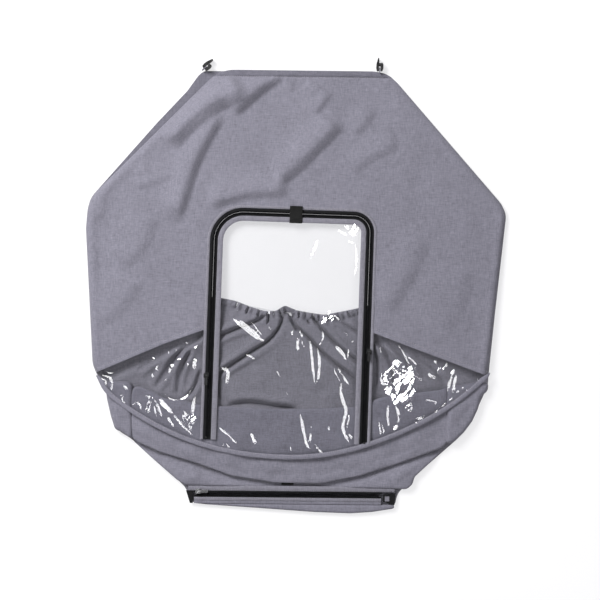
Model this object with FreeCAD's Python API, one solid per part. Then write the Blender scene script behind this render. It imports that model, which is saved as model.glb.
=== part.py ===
"""Soft weather cover for a stroller, lying flat with its window side up.

Millimetres.  X runs across the cover, +Y towards the hood's top hem, +Z up.
The origin is on the floor under the middle of the whole cover.

The cover is a flat stack.  The back layer lies on the floor.  The front layer
leans on the folded foot end, so it is drawn flat and then tipped a little
about X; its heights below are measured from the underside of its sheets.
"""

import FreeCAD
import Part
import math
import os

V = FreeCAD.Vector

# ---------------------------------------------------------------- materials
FABRIC = 1.6                # a woven sheet with its lining
CLEAR = 1.0                 # clear sheet
BINDING = 2.2               # folded tape sewn over an edge
WEBBING = 1.2

# ------------------------------------------------------------- front layer
LEAN_DEG = -1.5             # the front layer falls towards the top hem
HEM_Y = -272.0              # middle of the clear panel's lower hem
HEM_HEIGHT = 18.3           # underside of the front layer above the floor there
FAR = 900.0                 # larger than anything in the cover

# ------------------------------------------------------------ window, U zip
WINDOW_ORIGIN = V(-16.5, -245.5, 0.0)   # middle of the flap's fold line
WINDOW_TURN_DEG = -2.0
WINDOW_HALF = 122.0         # zip centre line, each side of the middle
WINDOW_TOP = 358.5          # fold line to the zip across the top
WINDOW_ROUND_LEFT = 46.0
WINDOW_ROUND_RIGHT = 26.0
ZIP_GAP = 0.4               # half of the gap between the two rows of coil
COIL_EDGE = 3.2             # coil's far side from the centre line
COIL_HEIGHT = 2.6
TAPE_EDGE = 6.2
TAPE = 0.9
BINDING_EDGE = 14.0
FLAP_AXIS_HEIGHT = 4.0
FLAP_CLEARANCE = 0.6        # flap's first edge from the fold line

TAB_U = 5.0                 # closing tab's middle, across the window
TAB_HALF = 10.0
TAB_FOLD = WINDOW_TOP - 9.0
TAB_REACH = 21.0
TAB_LOW = COIL_HEIGHT + 0.6
TAB_AXIS_HEIGHT = TAB_LOW + WEBBING + 0.3

# ----------------------------------------------------------------- sliders
SLIDER_LENGTH = 11.0
SLIDER_PLATE = 1.8
SLIDER_GAP = 0.4
PIN_R = 0.8
PIN_HOLE_R = 0.88
PULL_LENGTH = 15.0
PULL_WIDTH = 5.0
PULL_THICK = 1.2
PULL_MIDDLE = 4.7           # pull's middle from the zip's centre line
SLIDER_TOP = COIL_HEIGHT + SLIDER_GAP + SLIDER_PLATE
PULL_AXIS = SLIDER_TOP + 2.3    # pull's pin above the tapes' underside
LEFT_SLIDER_V = 100.0
RIGHT_SLIDER_V = 146.0
STOP_FROM_FOLD = 2.0
STOP_LENGTH = 3.0

# ---------------------------------------------------------------- foot end
FIRST_FOLD_TOP = -0.8       # heights in the front layer's own frame
SECOND_FOLD_TOP = -7.4
FOOT_LEVEL = -14.0          # underside of the foot zip's tapes
FOOT_ORIGIN = V(-160.5, -327.0, 0.0)
FOOT_TURN_DEG = -0.55
FOOT_ZIP_LENGTH = 297.0
FOOT_COIL_END = 294.0
LIP_START = 1.0
FOOT_GAP = 0.6
FOOT_COIL_EDGE = 2.9
FOOT_TAPE_EDGE = 5.4
FOOT_BINDING_EDGE = 13.5
LIP_BINDING_EDGE = 10.2
LIP_EDGE = 15.0
LIP_AXIS_HEIGHT = FOOT_LEVEL + 3.3
FOOT_SLIDER_P = 8.0
SKIRT = 3.0                 # rolled outer edge of a fold

# ------------------------------------------------------------- back layer
CASING = 9.0                # elastic's tunnel
CASING_HEIGHT = 3.0
ELASTIC_WIDTH = 5.0
ELASTIC_THICK = 1.2
BACK_SEAM_Y = -192.0
GUSSET_END_Y = -20.0
SIDE_FOLD = 3.0
BACK_INSET = 1.5

# ------------------------------------------------------------------- clips
CLIP_WIDTH = 9.6
CLIP_FLOOR = 1.0            # a clip lies on its side, this far off the floor
JAW_TIP = -10.2             # measured along the clip from its pin
LEVER_TIP = 9.8
CLIP_PIN_R = 0.9
CLIP_HOLE_R = 0.96
EAR = 1.6
TAB_THICK = 1.4
RIGHT_CLIP = V(132.6, 347.6, 0.0)
LEFT_CLIP = V(-136.0, 347.6, 0.0)
LEFT_CLIP_TURN_DEG = -50.0

# -------------------------------------------------- outlines, as X, Y points
HEM_LINE = [
    (301, -146), (235, -200), (136, -247), (40, -272), (-60, -271),
    (-147, -253.5), (-220, -223), (-296, -174), (-313, -139),
]
FRONT_OUTLINE = [(-119.5, 340), (145, 336.8), (323, 130), (332, 112), (305.5, -120)]
FRONT_OUTLINE += HEM_LINE
FRONT_OUTLINE += [(-319.5, -124), (-330, 90), (-326, 136)]

HOOD_AREA = [
    (-400, 400), (400, 400), (400, -178), (301, -142), (123, -74.6), (0, -26),
    (-153, -73), (-315, -137.4), (-400, -171),
]

COVER_OUTLINE = [
    (-143.5, 338), (145, 336), (325, 128), (331, 112), (304, -142), (303, -158),
    (286, -195), (266, -231), (249, -247), (186, -302), (178, -312), (161, -326),
    (155.5, -351), (86, -358.5), (-20, -352), (-165.5, -342), (-172, -319),
    (-186, -305.5), (-259, -241), (-282, -227), (-296, -174), (-313, -139),
    (-319, -124), (-329, 90), (-325, 136), (-219.5, 254.7), (-170, 307), (-152, 332),
]

BACK_OPENING = [
    (-100, 328), (-250, 135), (-262, 30), (-200, -14), (-114, -20), (-30, -39),
    (45, -45), (110, -36), (200, -14), (255, 30), (250, 130), (100, 325),
]

FIRST_FOLD = [
    (-261, -175), (-261, -240), (-213, -261.5), (-155, -279), (-100, -299),
    (-32, -309.5), (40, -311), (101, -299), (164, -279), (241, -251), (241, -165),
]
LEFT_FOOT_GUSSET = [
    (-300, -150), (-296, -178), (-282, -227), (-274, -229), (-261.5, -239.5),
    (-261.5, -150),
]
RIGHT_FOOT_GUSSET = [
    (241.5, -160), (241.5, -250), (249, -247), (265.6, -230.6), (278, -214),
    (287, -195), (293, -174), (303, -166), (304, -152), (290, -150),
]
SECOND_FOLD = [
    (-250, -232), (-259, -242), (-186, -305.5), (-172, -313.6), (161, -316.8),
    (180, -310), (186, -302), (231, -261), (225, -232),
]
FOOT_TAPE_LEFT_END = [
    (-171, -318), (-172, -322), (-166, -341.6), (-161.5, -341.6), (-161.5, -318),
]
FOOT_TAPE_RIGHT_END = [(137.5, -329), (157.5, -326), (155.5, -345), (137.5, -340)]
FOOT_END = [
    (-165.5, -342.6), (155, -345.8), (155.5, -351), (120, -356.5), (86, -358.6),
    (30, -356.5), (-60, -350), (-140, -344.5),
]

LEAN = FreeCAD.Rotation(V(1, 0, 0), LEAN_DEG)
FRONT = FreeCAD.Placement(V(0, HEM_Y, HEM_HEIGHT), LEAN)
FRONT = FRONT.multiply(FreeCAD.Placement(V(0, -HEM_Y, 0), FreeCAD.Rotation()))
WINDOW = FreeCAD.Placement(WINDOW_ORIGIN, FreeCAD.Rotation(V(0, 0, 1), WINDOW_TURN_DEG))
FOOT = FreeCAD.Placement(FOOT_ORIGIN, FreeCAD.Rotation(V(0, 0, 1), FOOT_TURN_DEG))


# ------------------------------------------------------------------ helpers
def placed(shape, placement):
    """A copy of the shape, carried by the placement."""
    moved = shape.copy()
    moved.Placement = placement.multiply(moved.Placement)
    return moved


def face_of(points, radius=0.0):
    """A flat face with straight runs and, where radius is given, round corners."""
    corners = [V(x, y, 0) for x, y in points]
    if radius == 0.0:
        return Part.Face(Part.makePolygon(corners + corners[:1]))
    edges = []
    last = None
    first = None
    count = len(corners)
    for index in range(count):
        here = corners[index]
        back = corners[index - 1].sub(here)
        ahead = corners[(index + 1) % count].sub(here)
        turn = math.pi - back.getAngle(ahead)
        reach = radius * math.tan(turn / 2)
        reach = min(reach, 0.45 * back.Length, 0.45 * ahead.Length)
        start = here.add(V(back).normalize().multiply(reach))
        end = here.add(V(ahead).normalize().multiply(reach))
        arc_radius = reach / math.tan(turn / 2)
        bulge = arc_radius / math.cos(turn / 2) - arc_radius
        inward = V(back).normalize().add(V(ahead).normalize()).normalize()
        middle = here.add(inward.multiply(bulge))
        if last is not None:
            edges.append(Part.LineSegment(last, start).toShape())
        else:
            first = start
        edges.append(Part.Arc(start, middle, end).toShape())
        last = end
    edges.append(Part.LineSegment(last, first).toShape())
    return Part.Face(Part.Wire(edges))


def box_face(left, low, right, high):
    return face_of([(left, low), (right, low), (right, high), (left, high)])


def prism(face, low, high):
    """The face raised from one height to another."""
    base = face.copy()
    base.translate(V(0, 0, low))
    return base.extrude(V(0, 0, high - low))


def inset(face, distance):
    """The face with its edge moved inwards."""
    return face.makeOffset2D(-distance)


def outset(face, distance):
    return face.makeOffset2D(distance)


def save(name, shape):
    """Write one sub-part as a compound of clean solids."""
    solids = [solid for solid in shape.removeSplitter().Solids if solid.Volume > 1.0]
    for solid in solids:
        if not solid.isValid():
            raise ValueError("bad solid in " + name)
    whole = solids[0] if len(solids) == 1 else Part.makeCompound(solids)
    whole.exportStep("parts/" + name + ".step")
    print(name, len(solids), round(sum(solid.Volume for solid in solids)))


def save_front(name, shape):
    save(name, placed(shape, FRONT))


# --------------------------------------------------------- shared flat areas
front_face = face_of(FRONT_OUTLINE, 60.0)
hood_area = face_of(HOOD_AREA)
hood_face = front_face.common(hood_area)
clear_face = front_face.cut(hood_area)
cover_face = inset(face_of(COVER_OUTLINE, 40.0), BACK_INSET)
opening_face = face_of(BACK_OPENING, 60.0)
opening_edge = outset(opening_face, CASING)


def window_face(grow, foot):
    """The inside of the U zip's path, grown or shrunk, down to a foot line."""
    half = WINDOW_HALF + grow
    top = WINDOW_TOP + grow
    left = max(WINDOW_ROUND_LEFT + grow, 2.0)
    right = max(WINDOW_ROUND_RIGHT + grow, 2.0)
    slant = math.sqrt(0.5)
    left_middle = V(-half + left - left * slant, top - left + left * slant, 0)
    right_middle = V(half - right + right * slant, top - right + right * slant, 0)
    corners = [
        V(-half, foot, 0), V(-half, top - left, 0), V(-half + left, top, 0),
        V(half - right, top, 0), V(half, top - right, 0), V(half, foot, 0),
    ]
    edges = [
        Part.LineSegment(corners[0], corners[1]).toShape(),
        Part.Arc(corners[1], left_middle, corners[2]).toShape(),
        Part.LineSegment(corners[2], corners[3]).toShape(),
        Part.Arc(corners[3], right_middle, corners[4]).toShape(),
        Part.LineSegment(corners[4], corners[5]).toShape(),
        Part.LineSegment(corners[5], corners[0]).toShape(),
    ]
    return Part.Face(Part.Wire(edges))


def window_ring(outer, inner, foot, low, high):
    """A U band between two distances from the zip's centre line."""
    band = window_face(outer, foot).cut(window_face(inner, foot - 1.0))
    return placed(prism(band, low, high), WINDOW)


# -------------------------------------------------------------- front layer
def make_front_sheets():
    cutter = placed(window_face(BINDING_EDGE, -FAR), WINDOW)
    hood = hood_face.cut(cutter)
    top_strip = box_face(-FAR, 331.0, FAR, FAR)
    save_front("hood_panel", prism(hood.cut(top_strip), 0, FABRIC))
    save_front("top_hem", prism(hood.common(top_strip), -0.4, BINDING))

    inner_front = inset(front_face, 9.0)
    panels = clear_face.cut(cutter).common(inner_front)
    left = panels.common(box_face(-FAR, -FAR, 0, FAR))
    right = panels.common(box_face(0, -FAR, FAR, FAR))
    save_front("side_window_left", prism(left, 0, CLEAR))
    save_front("side_window_right", prism(right, 0, CLEAR))

    reach = WINDOW_HALF + BINDING_EDGE
    below_fold = placed(box_face(-reach, -60.0, reach, 0.0), WINDOW)
    strip = below_fold.common(clear_face).common(inner_front)
    save_front("lower_clear_strip", prism(strip, 0, CLEAR))

    hem = clear_face.cut(inner_front)
    above_fold = placed(window_face(BINDING_EDGE, 0.0), WINDOW)
    save_front("clear_panel_hem", prism(hem.cut(above_fold), -0.4, BINDING - 0.4))


def make_window_frame():
    within_hem = prism(front_face, -5, 5)
    ring = window_ring(BINDING_EDGE, TAPE_EDGE, 0.0, -0.2, BINDING - 0.2)
    save_front("window_outer_binding", ring.common(within_hem))
    tape = window_ring(TAPE_EDGE, COIL_EDGE, 0.0, 0, TAPE)
    save_front("window_outer_tape", tape.common(within_hem))
    coil_foot = STOP_FROM_FOLD + STOP_LENGTH
    save_front("window_outer_coil", window_ring(COIL_EDGE, ZIP_GAP, coil_foot, 0, COIL_HEIGHT))
    stops = []
    for side in (-1, 1):
        near = side * (WINDOW_HALF + ZIP_GAP)
        far = side * (WINDOW_HALF + COIL_EDGE)
        area = box_face(min(near, far), STOP_FROM_FOLD, max(near, far), coil_foot - 0.2)
        stops.append(placed(prism(area, 0, COIL_HEIGHT + 0.3), WINDOW))
    save_front("window_zip_stops", Part.makeCompound(stops))


def make_flap():
    foot = FLAP_CLEARANCE
    save_front("flap_coil", window_ring(-ZIP_GAP, -COIL_EDGE, foot, 0, COIL_HEIGHT))
    save_front("flap_tape", window_ring(-COIL_EDGE, -TAPE_EDGE, foot, 0, TAPE))
    save_front("flap_binding", window_ring(-TAPE_EDGE, -BINDING_EDGE, foot, -0.2, BINDING - 0.2))
    sheet = prism(window_face(-BINDING_EDGE, foot), 0, CLEAR)
    save_front("flap_clear_sheet", placed(sheet, WINDOW))


def make_closing_tab():
    """Webbing tab sewn to the flap, lying over the zip onto the cover."""
    base = box_face(TAB_U - TAB_HALF, TAB_FOLD - 4.0, TAB_U + TAB_HALF, TAB_FOLD)
    save_front("tab_sewn_end", placed(prism(base, BINDING - 0.2, TAB_LOW + WEBBING), WINDOW))
    tab = box_face(TAB_U - TAB_HALF, TAB_FOLD + 0.4, TAB_U + TAB_HALF, TAB_FOLD + TAB_REACH)
    save_front("closing_tab", placed(prism(tab, TAB_LOW, TAB_LOW + WEBBING), WINDOW))


# ------------------------------------------------------------------ sliders
def slider_body():
    """Slider at the origin: +X away from the zip's centre line, Y along it."""
    half = SLIDER_LENGTH / 2
    plate_low = COIL_HEIGHT + SLIDER_GAP
    outline = [(0.7, -half), (8.7, -half + 2), (8.7, half - 2), (0.7, half)]
    plate = prism(face_of(outline, 2.0), plate_low, SLIDER_TOP)
    flange_face = box_face(COIL_EDGE + SLIDER_GAP, -half + 2, FOOT_TAPE_EDGE - 0.3, half - 2)
    flange = prism(flange_face, TAPE + SLIDER_GAP, plate_low)
    body = plate.fuse(flange)
    for near, far in ((1.2, 2.4), (7.0, 8.2)):
        cheek = Part.makeBox(far - near, 3.2, PULL_AXIS + 1.6 - SLIDER_TOP + 0.5)
        cheek.translate(V(near, -1.6, SLIDER_TOP - 0.5))
        body = body.fuse(cheek)
    pin = Part.makeCylinder(PIN_R, 5.0, V(2.3, 0, PULL_AXIS), V(1, 0, 0))
    return body.fuse(pin)


def slider_pull():
    """Pull with an eye round the slider's pin, lying towards -Y."""
    eye_from = 2.8
    eye_to = 6.6
    eye_start = V(eye_from, 0, PULL_AXIS)
    eye = Part.makeCylinder(PIN_HOLE_R + 0.9, eye_to - eye_from, eye_start, V(1, 0, 0))
    half = PULL_WIDTH / 2
    outline = [
        (eye_from, 0), (eye_from, -3.2), (PULL_MIDDLE - half, -PULL_LENGTH + 3.5),
        (PULL_MIDDLE - half, -PULL_LENGTH), (PULL_MIDDLE + half, -PULL_LENGTH),
        (PULL_MIDDLE + half, -PULL_LENGTH + 3.5), (eye_to, -3.2), (eye_to, 0),
    ]
    blade = prism(face_of(outline, 1.6), PULL_AXIS - PULL_THICK / 2, PULL_AXIS + PULL_THICK / 2)
    hole = Part.makeCylinder(PIN_HOLE_R, 8.0, V(0.7, 0, PULL_AXIS), V(1, 0, 0))
    return eye.fuse(blade).cut(hole)


def make_window_sliders():
    for name, side, along in (("left", -1, LEFT_SLIDER_V), ("right", 1, RIGHT_SLIDER_V)):
        for node, shape in (("slider", slider_body()), ("pull", slider_pull())):
            if side < 0:
                shape = shape.mirror(V(0, 0, 0), V(1, 0, 0))
            spot = FreeCAD.Placement(V(side * WINDOW_HALF, along, 0), FreeCAD.Rotation())
            save_front("window_" + node + "_" + name, placed(shape, WINDOW.multiply(spot)))


def make_foot_slider():
    turn = FreeCAD.Rotation(V(0, 0, 1), 90)
    spot = FreeCAD.Placement(V(FOOT_SLIDER_P, 0, FOOT_LEVEL), turn)
    for node, shape in (("foot_slider", slider_body()), ("foot_pull", slider_pull())):
        save_front(node, placed(shape, FOOT.multiply(spot)))


# ----------------------------------------------------------------- foot end
def fold_with_roll(outline, top, roll_low, radius):
    """A flat fold with its outer edge rolled down onto the fold beneath."""
    face = face_of(outline, radius)
    rim = face.cut(inset(face, SKIRT)).cut(front_face)
    return prism(face, top - FABRIC, top).fuse(prism(rim, roll_low, top - FABRIC / 2))


def make_foot_folds():
    first = fold_with_roll(FIRST_FOLD, FIRST_FOLD_TOP, SECOND_FOLD_TOP + 0.1, 90.0)
    save_front("first_foot_fold", first)
    for name, outline in (("left", LEFT_FOOT_GUSSET), ("right", RIGHT_FOOT_GUSSET)):
        gusset = fold_with_roll(outline, FIRST_FOLD_TOP, FOOT_LEVEL + 1.0, 12.0)
        save_front("foot_gusset_" + name, gusset)
    second = face_of(SECOND_FOLD, 14.0)
    rim = second.cut(inset(second, SKIRT)).cut(face_of(FIRST_FOLD, 90.0))
    body = prism(second, SECOND_FOLD_TOP - FABRIC, SECOND_FOLD_TOP)
    roll_low = FOOT_LEVEL + BINDING + 0.1
    save_front("second_foot_fold", body.fuse(prism(rim, roll_low, SECOND_FOLD_TOP - 0.5)))
    strap_low = SECOND_FOLD_TOP + 0.1
    strap = prism(box_face(-23.0, -317.5, -2.0, -296.0), strap_low, strap_low + WEBBING)
    save_front("strap_end", strap.cut(prism(face_of(FIRST_FOLD, 90.0), -30, 30)))


def foot_band(near, far, low, high, start=0.0, length=FOOT_ZIP_LENGTH):
    band = box_face(start, min(near, far), length, max(near, far))
    return placed(prism(band, FOOT_LEVEL + low, FOOT_LEVEL + high), FOOT)


def make_foot_zip():
    tape = foot_band(FOOT_COIL_EDGE, FOOT_TAPE_EDGE, 0, TAPE)
    for outline in (FOOT_TAPE_LEFT_END, FOOT_TAPE_RIGHT_END):
        tape = tape.fuse(prism(face_of(outline), FOOT_LEVEL, FOOT_LEVEL + TAPE))
    binding = foot_band(FOOT_TAPE_EDGE, FOOT_BINDING_EDGE, 0, BINDING, -8.0, 316.0)
    save_front("foot_upper_binding", binding)
    keep_clear = foot_band(FOOT_TAPE_EDGE, 40.0, -1, 5, -30.0, 340.0)
    save_front("foot_upper_tape", tape.cut(keep_clear))
    coil = foot_band(FOOT_GAP / 2, FOOT_COIL_EDGE, 0, COIL_HEIGHT, LIP_START, FOOT_COIL_END)
    save_front("foot_upper_coil", coil)
    end_tab = box_face(FOOT_ZIP_LENGTH + 4, -9.0, FOOT_ZIP_LENGTH + 11, -1.5)
    tab_low = FOOT_LEVEL + TAPE
    save_front("foot_zip_end_tab", placed(prism(end_tab, tab_low, tab_low + WEBBING), FOOT))


def make_foot_lip():
    strips = (
        ("lip_coil", FOOT_GAP / 2, FOOT_COIL_EDGE, COIL_HEIGHT, FOOT_COIL_END),
        ("lip_tape", FOOT_COIL_EDGE, FOOT_TAPE_EDGE, TAPE, FOOT_ZIP_LENGTH),
        ("lip_binding", FOOT_TAPE_EDGE, LIP_BINDING_EDGE, BINDING, FOOT_ZIP_LENGTH),
        ("foot_lip", LIP_BINDING_EDGE, LIP_EDGE, FABRIC, FOOT_ZIP_LENGTH),
    )
    for node, near, far, thick, end in strips:
        save_front(node, foot_band(-near, -far, 0, thick, LIP_START, end))
    end = face_of(FOOT_END, 30.0)
    panel = prism(end, FOOT_LEVEL, FOOT_LEVEL + FABRIC)
    rim = prism(end.cut(inset(end, 2.0)), FOOT_LEVEL - 20.0, FOOT_LEVEL + 0.5)
    whole = placed(panel.fuse(rim), FRONT)
    floor = prism(box_face(-FAR, -FAR, FAR, FAR), -FAR, FABRIC + 0.1)
    save("foot_end_panel", whole.cut(floor))


# --------------------------------------------------------------- back layer
def make_back_layer():
    sheet = cover_face.cut(opening_edge)
    lower = sheet.common(box_face(-FAR, -FAR, FAR, BACK_SEAM_Y - 0.2))
    upper = sheet.common(box_face(-FAR, BACK_SEAM_Y, FAR, GUSSET_END_Y))
    sides = sheet.common(box_face(-FAR, GUSSET_END_Y + 0.2, FAR, 330.0))
    save("back_panel_lower", prism(lower, 0, FABRIC))
    save("back_panel_upper", prism(upper, 0, FABRIC))
    save("side_gusset_left", prism(sides.common(box_face(-FAR, -FAR, 0, FAR)), 0, FABRIC))
    save("side_gusset_right", prism(sides.common(box_face(0, -FAR, FAR, FAR)), 0, FABRIC))

    below_hem = box_face(-FAR, -FAR, FAR, 300.0)
    tunnel_edge = (CASING - ELASTIC_WIDTH) / 2
    tunnel = outset(opening_face, CASING - tunnel_edge).cut(outset(opening_face, tunnel_edge))
    casing = prism(opening_edge.cut(opening_face).common(below_hem), 0, CASING_HEIGHT)
    low = (CASING_HEIGHT - ELASTIC_THICK) / 2
    elastic = prism(tunnel.common(box_face(-FAR, -FAR, FAR, 298.0)), low, low + ELASTIC_THICK)
    save("elastic_casing", casing.cut(elastic))
    save("elastic_band", elastic)


def make_side_folds():
    """The turned edges that join the front layer to the back layer."""
    edge = front_face.cut(inset(front_face, SIDE_FOLD)).common(hood_face)
    edge = edge.cut(box_face(-FAR, 300.0, FAR, FAR))
    wall = placed(prism(edge, -30.0, -0.1), FRONT)
    wall = wall.cut(prism(box_face(-FAR, -FAR, FAR, FAR), -FAR, FABRIC + 0.1))
    save("side_fold_left", wall.common(prism(box_face(-FAR, -FAR, 0, FAR), -5, 60)))
    save("side_fold_right", wall.common(prism(box_face(0, -FAR, FAR, FAR), -5, 60)))


# -------------------------------------------------------------------- clips
# A clip is drawn at its pin, jaws towards -Y, its thumb lever on the -X side.
def clip_base():
    outline = [
        (1.5, JAW_TIP), (1.5, 0.6), (2.2, 2.2), (4.4, 1.9), (5.6, -1.5), (5.4, -7.0),
        (4.4, JAW_TIP),
    ]
    body = prism(face_of(outline, 1.2), 0, CLIP_WIDTH)
    for low in (0.0, CLIP_WIDTH - EAR):
        ear = face_of([(-1.7, -2.0), (2.0, -2.8), (2.0, 1.6), (-1.7, 1.6)], 1.2)
        body = body.fuse(prism(ear, low, low + EAR))
    return body.fuse(clip_teeth(1)).cut(clip_bore()).cut(clip_spring_room())


def clip_lever():
    outline = [
        (-1.6, JAW_TIP), (-1.6, -3.4), (-0.8, 3.0), (-1.2, LEVER_TIP), (-2.6, LEVER_TIP),
        (-5.0, 1.5), (-5.6, -5.0), (-4.4, JAW_TIP),
    ]
    body = prism(face_of(outline, 1.4), 0, CLIP_WIDTH)
    knuckle_low = CLIP_WIDTH / 2 - 1.2
    knuckle = face_of([(-2.6, -1.7), (1.0, -1.7), (1.0, 1.7), (-2.6, 1.7)], 1.2)
    ear_room = face_of([(-2.2, -2.6), (3.0, -3.4), (3.0, 2.6), (-2.2, 2.6)])
    for low in (-1.0, CLIP_WIDTH - EAR - 0.4):
        body = body.cut(prism(ear_room, low, low + EAR + 1.4))
    body = body.cut(clip_spring_room()).fuse(prism(knuckle, knuckle_low, knuckle_low + 2.4))
    return body.fuse(clip_teeth(-1)).cut(clip_bore())


def clip_teeth(side):
    """Three ridges across the jaw, short of the cloth between them."""
    ridges = []
    for step in range(3):
        y = JAW_TIP + 0.8 + step * 1.8
        tip = side * (TAB_THICK / 2 + 0.35)
        root = side * 1.9
        ridge = face_of([(root, y - 0.6), (tip, y), (root, y + 0.6)])
        ridges.append(prism(ridge, 1.0, CLIP_WIDTH - 1.0))
    return ridges[0].fuse(ridges[1]).fuse(ridges[2])


def clip_bore():
    return Part.makeCylinder(CLIP_HOLE_R, CLIP_WIDTH + 2, V(0, 0, -1))


def clip_spring_room():
    return Part.makeCylinder(2.1, 1.8, V(0, 0, EAR + 0.1))


def clip_pin():
    return Part.makeCylinder(CLIP_PIN_R, CLIP_WIDTH - 0.2, V(0, 0, 0.1))


def clip_spring():
    """Two closed turns round the pin."""
    turns = []
    for step in range(2):
        turns.append(Part.makeTorus(1.45, 0.3, V(0, 0, EAR + 0.6 + 0.65 * step)))
    return Part.makeCompound(turns)


def corner_tab():
    """The pinched cloth that a clip bites."""
    tab = box_face(-TAB_THICK / 2, -14.0, TAB_THICK / 2, -5.2)
    return prism(tab, 1.2, CLIP_WIDTH - 1.2)


def make_clips():
    upright = FreeCAD.Rotation(V(0, 0, 1), 0)
    turned = FreeCAD.Rotation(V(0, 0, 1), LEFT_CLIP_TURN_DEG)
    clear_front = placed(prism(face_of(FRONT_OUTLINE, 60.0), -1.0, BINDING + 0.4), FRONT)
    floor_sheet = prism(face_of(COVER_OUTLINE, 40.0), -1.0, FABRIC + 0.2)
    for name, spot, turn in (("right", RIGHT_CLIP, upright), ("left", LEFT_CLIP, turned)):
        place = FreeCAD.Placement(spot.add(V(0, 0, CLIP_FLOOR)), turn)
        save("clip_base_" + name, placed(clip_base(), place))
        save("clip_lever_" + name, placed(clip_lever(), place))
        save("clip_pin_" + name, placed(clip_pin(), place))
        save("clip_spring_" + name, placed(clip_spring(), place))
        tab = placed(corner_tab(), place).cut(clear_front).cut(floor_sheet)
        save("corner_tab_" + name, tab)


def make_all():
    os.makedirs("parts", exist_ok=True)
    make_front_sheets()
    make_window_frame()
    make_flap()
    make_closing_tab()
    make_window_sliders()
    make_foot_slider()
    make_foot_folds()
    make_foot_zip()
    make_foot_lip()
    make_back_layer()
    make_side_folds()
    make_clips()


make_all()
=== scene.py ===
"""Soft weather cover for a stroller, lying flat with its window side up.

Lengths are in millimetres until a mesh is made, and then in metres.  X runs
across the cover, +Y towards the hood's top hem and +Z up, as in the CAD.
"""

import math

import bmesh
import bpy
import numpy as np
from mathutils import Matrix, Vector
from mathutils.geometry import delaunay_2d_cdt


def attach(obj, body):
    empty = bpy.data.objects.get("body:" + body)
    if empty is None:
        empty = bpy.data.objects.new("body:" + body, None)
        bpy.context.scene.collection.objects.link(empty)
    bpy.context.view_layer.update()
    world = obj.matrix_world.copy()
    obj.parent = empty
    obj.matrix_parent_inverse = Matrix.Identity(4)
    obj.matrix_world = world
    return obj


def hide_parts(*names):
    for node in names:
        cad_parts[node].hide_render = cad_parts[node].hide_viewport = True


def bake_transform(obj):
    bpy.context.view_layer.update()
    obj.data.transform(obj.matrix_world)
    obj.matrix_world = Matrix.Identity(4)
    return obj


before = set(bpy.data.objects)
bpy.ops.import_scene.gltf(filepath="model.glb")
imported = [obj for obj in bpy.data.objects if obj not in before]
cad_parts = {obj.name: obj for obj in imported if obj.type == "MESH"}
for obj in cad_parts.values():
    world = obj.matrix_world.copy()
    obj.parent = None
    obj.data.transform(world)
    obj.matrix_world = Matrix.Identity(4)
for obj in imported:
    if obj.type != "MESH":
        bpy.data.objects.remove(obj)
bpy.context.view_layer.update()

MM = 0.001

# ------------------------------------------------------------ shared sizes
LEAN = math.tan(math.radians(1.5))      # the front layer falls towards the top hem
HEM_Y = -272.0
HEM_HEIGHT = 18.3
CLOTH = 1.2                             # drawn thickness of a woven sheet
FILM = 0.4                              # drawn thickness of the clear sheet

WINDOW_ORIGIN = np.array([-16.5, -245.5])
WINDOW_TURN = math.radians(-2.0)
WINDOW_HALF = 122.0
WINDOW_TOP = 358.5
ROUND_LEFT = 46.0
ROUND_RIGHT = 26.0
BINDING_EDGE = 14.0
TAPE_EDGE = 6.2
COIL_EDGE = 3.2
ZIP_GAP = 0.4
COIL_HEIGHT = 2.6
COIL_PITCH = 1.7

FOOT_ORIGIN = np.array([-160.5, -327.0])
FOOT_TURN = math.radians(-0.55)
FOOT_LEVEL = -14.0
FOOT_LENGTH = 297.0
FOOT_STEP = 3.0

FAR = 1e9                               # farther than any line
LAMPS_ROUND_Y = -13.0                   # the lamps stand round this point
STREAK_LEAN = 22.0                      # degrees, under the middle of the lamps
STREAK_LEAN_FALL = 0.0205               # degrees for each mm further out
CRUSHED_LEAN = 26.0
CRUSHED_LEAN_FALL = 0.0195
CREASE_SCALE = 1.8                      # hood creases against their table
CREASE_TAPER = 0.16
VALLEY_WIDTH_SCALE = 0.9                # back valleys against their table
VALLEY_DEPTH_SCALE = 1.45
BACK_MIDDLE_X = -12.0
GATHERS = 210                           # round the whole elastic edge
STITCH_PITCH = 3.4
STITCH_LENGTH = 2.5
STITCH_RADIUS = 0.26
STITCH_SIDES = 6
COIL_SIDES = 6
HEM_WIDTH = 7.4
STRAP_END_DROP = 12.2                   # below the front layer
PLAIN = (1, 1, 1)                       # noise that is not stretched

HEM_LINE = [
    (301, -146), (235, -200), (136, -247), (40, -272), (-60, -271),
    (-147, -253.5), (-220, -223), (-296, -174), (-313, -139),
]
FRONT_OUTLINE = [(-119.5, 340), (145, 336.8), (323, 130), (332, 112), (305.5, -120)]
FRONT_OUTLINE += HEM_LINE
FRONT_OUTLINE += [(-319.5, -124), (-330, 90), (-326, 136)]
HOOD_FOOT_RIGHT = [(340, -156.5), (301, -142), (240, -119), (180, -96.5), (117, -72.4)]
HOOD_FOOT_LEFT = [(-150, -71.7), (-205, -91), (-260, -114), (-315, -137.4), (-350, -152)]
COVER_OUTLINE = [
    (-143.5, 338), (145, 336), (325, 128), (331, 112), (304, -142), (303, -158),
    (286, -195), (266, -231), (249, -247), (186, -302), (178, -312), (161, -326),
    (155.5, -351), (86, -358.5), (-20, -352), (-165.5, -342), (-172, -319),
    (-186, -305.5), (-259, -241), (-282, -227), (-296, -174), (-313, -139),
    (-319, -124), (-329, 90), (-325, 136), (-219.5, 254.7), (-170, 307), (-152, 332),
]
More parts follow.
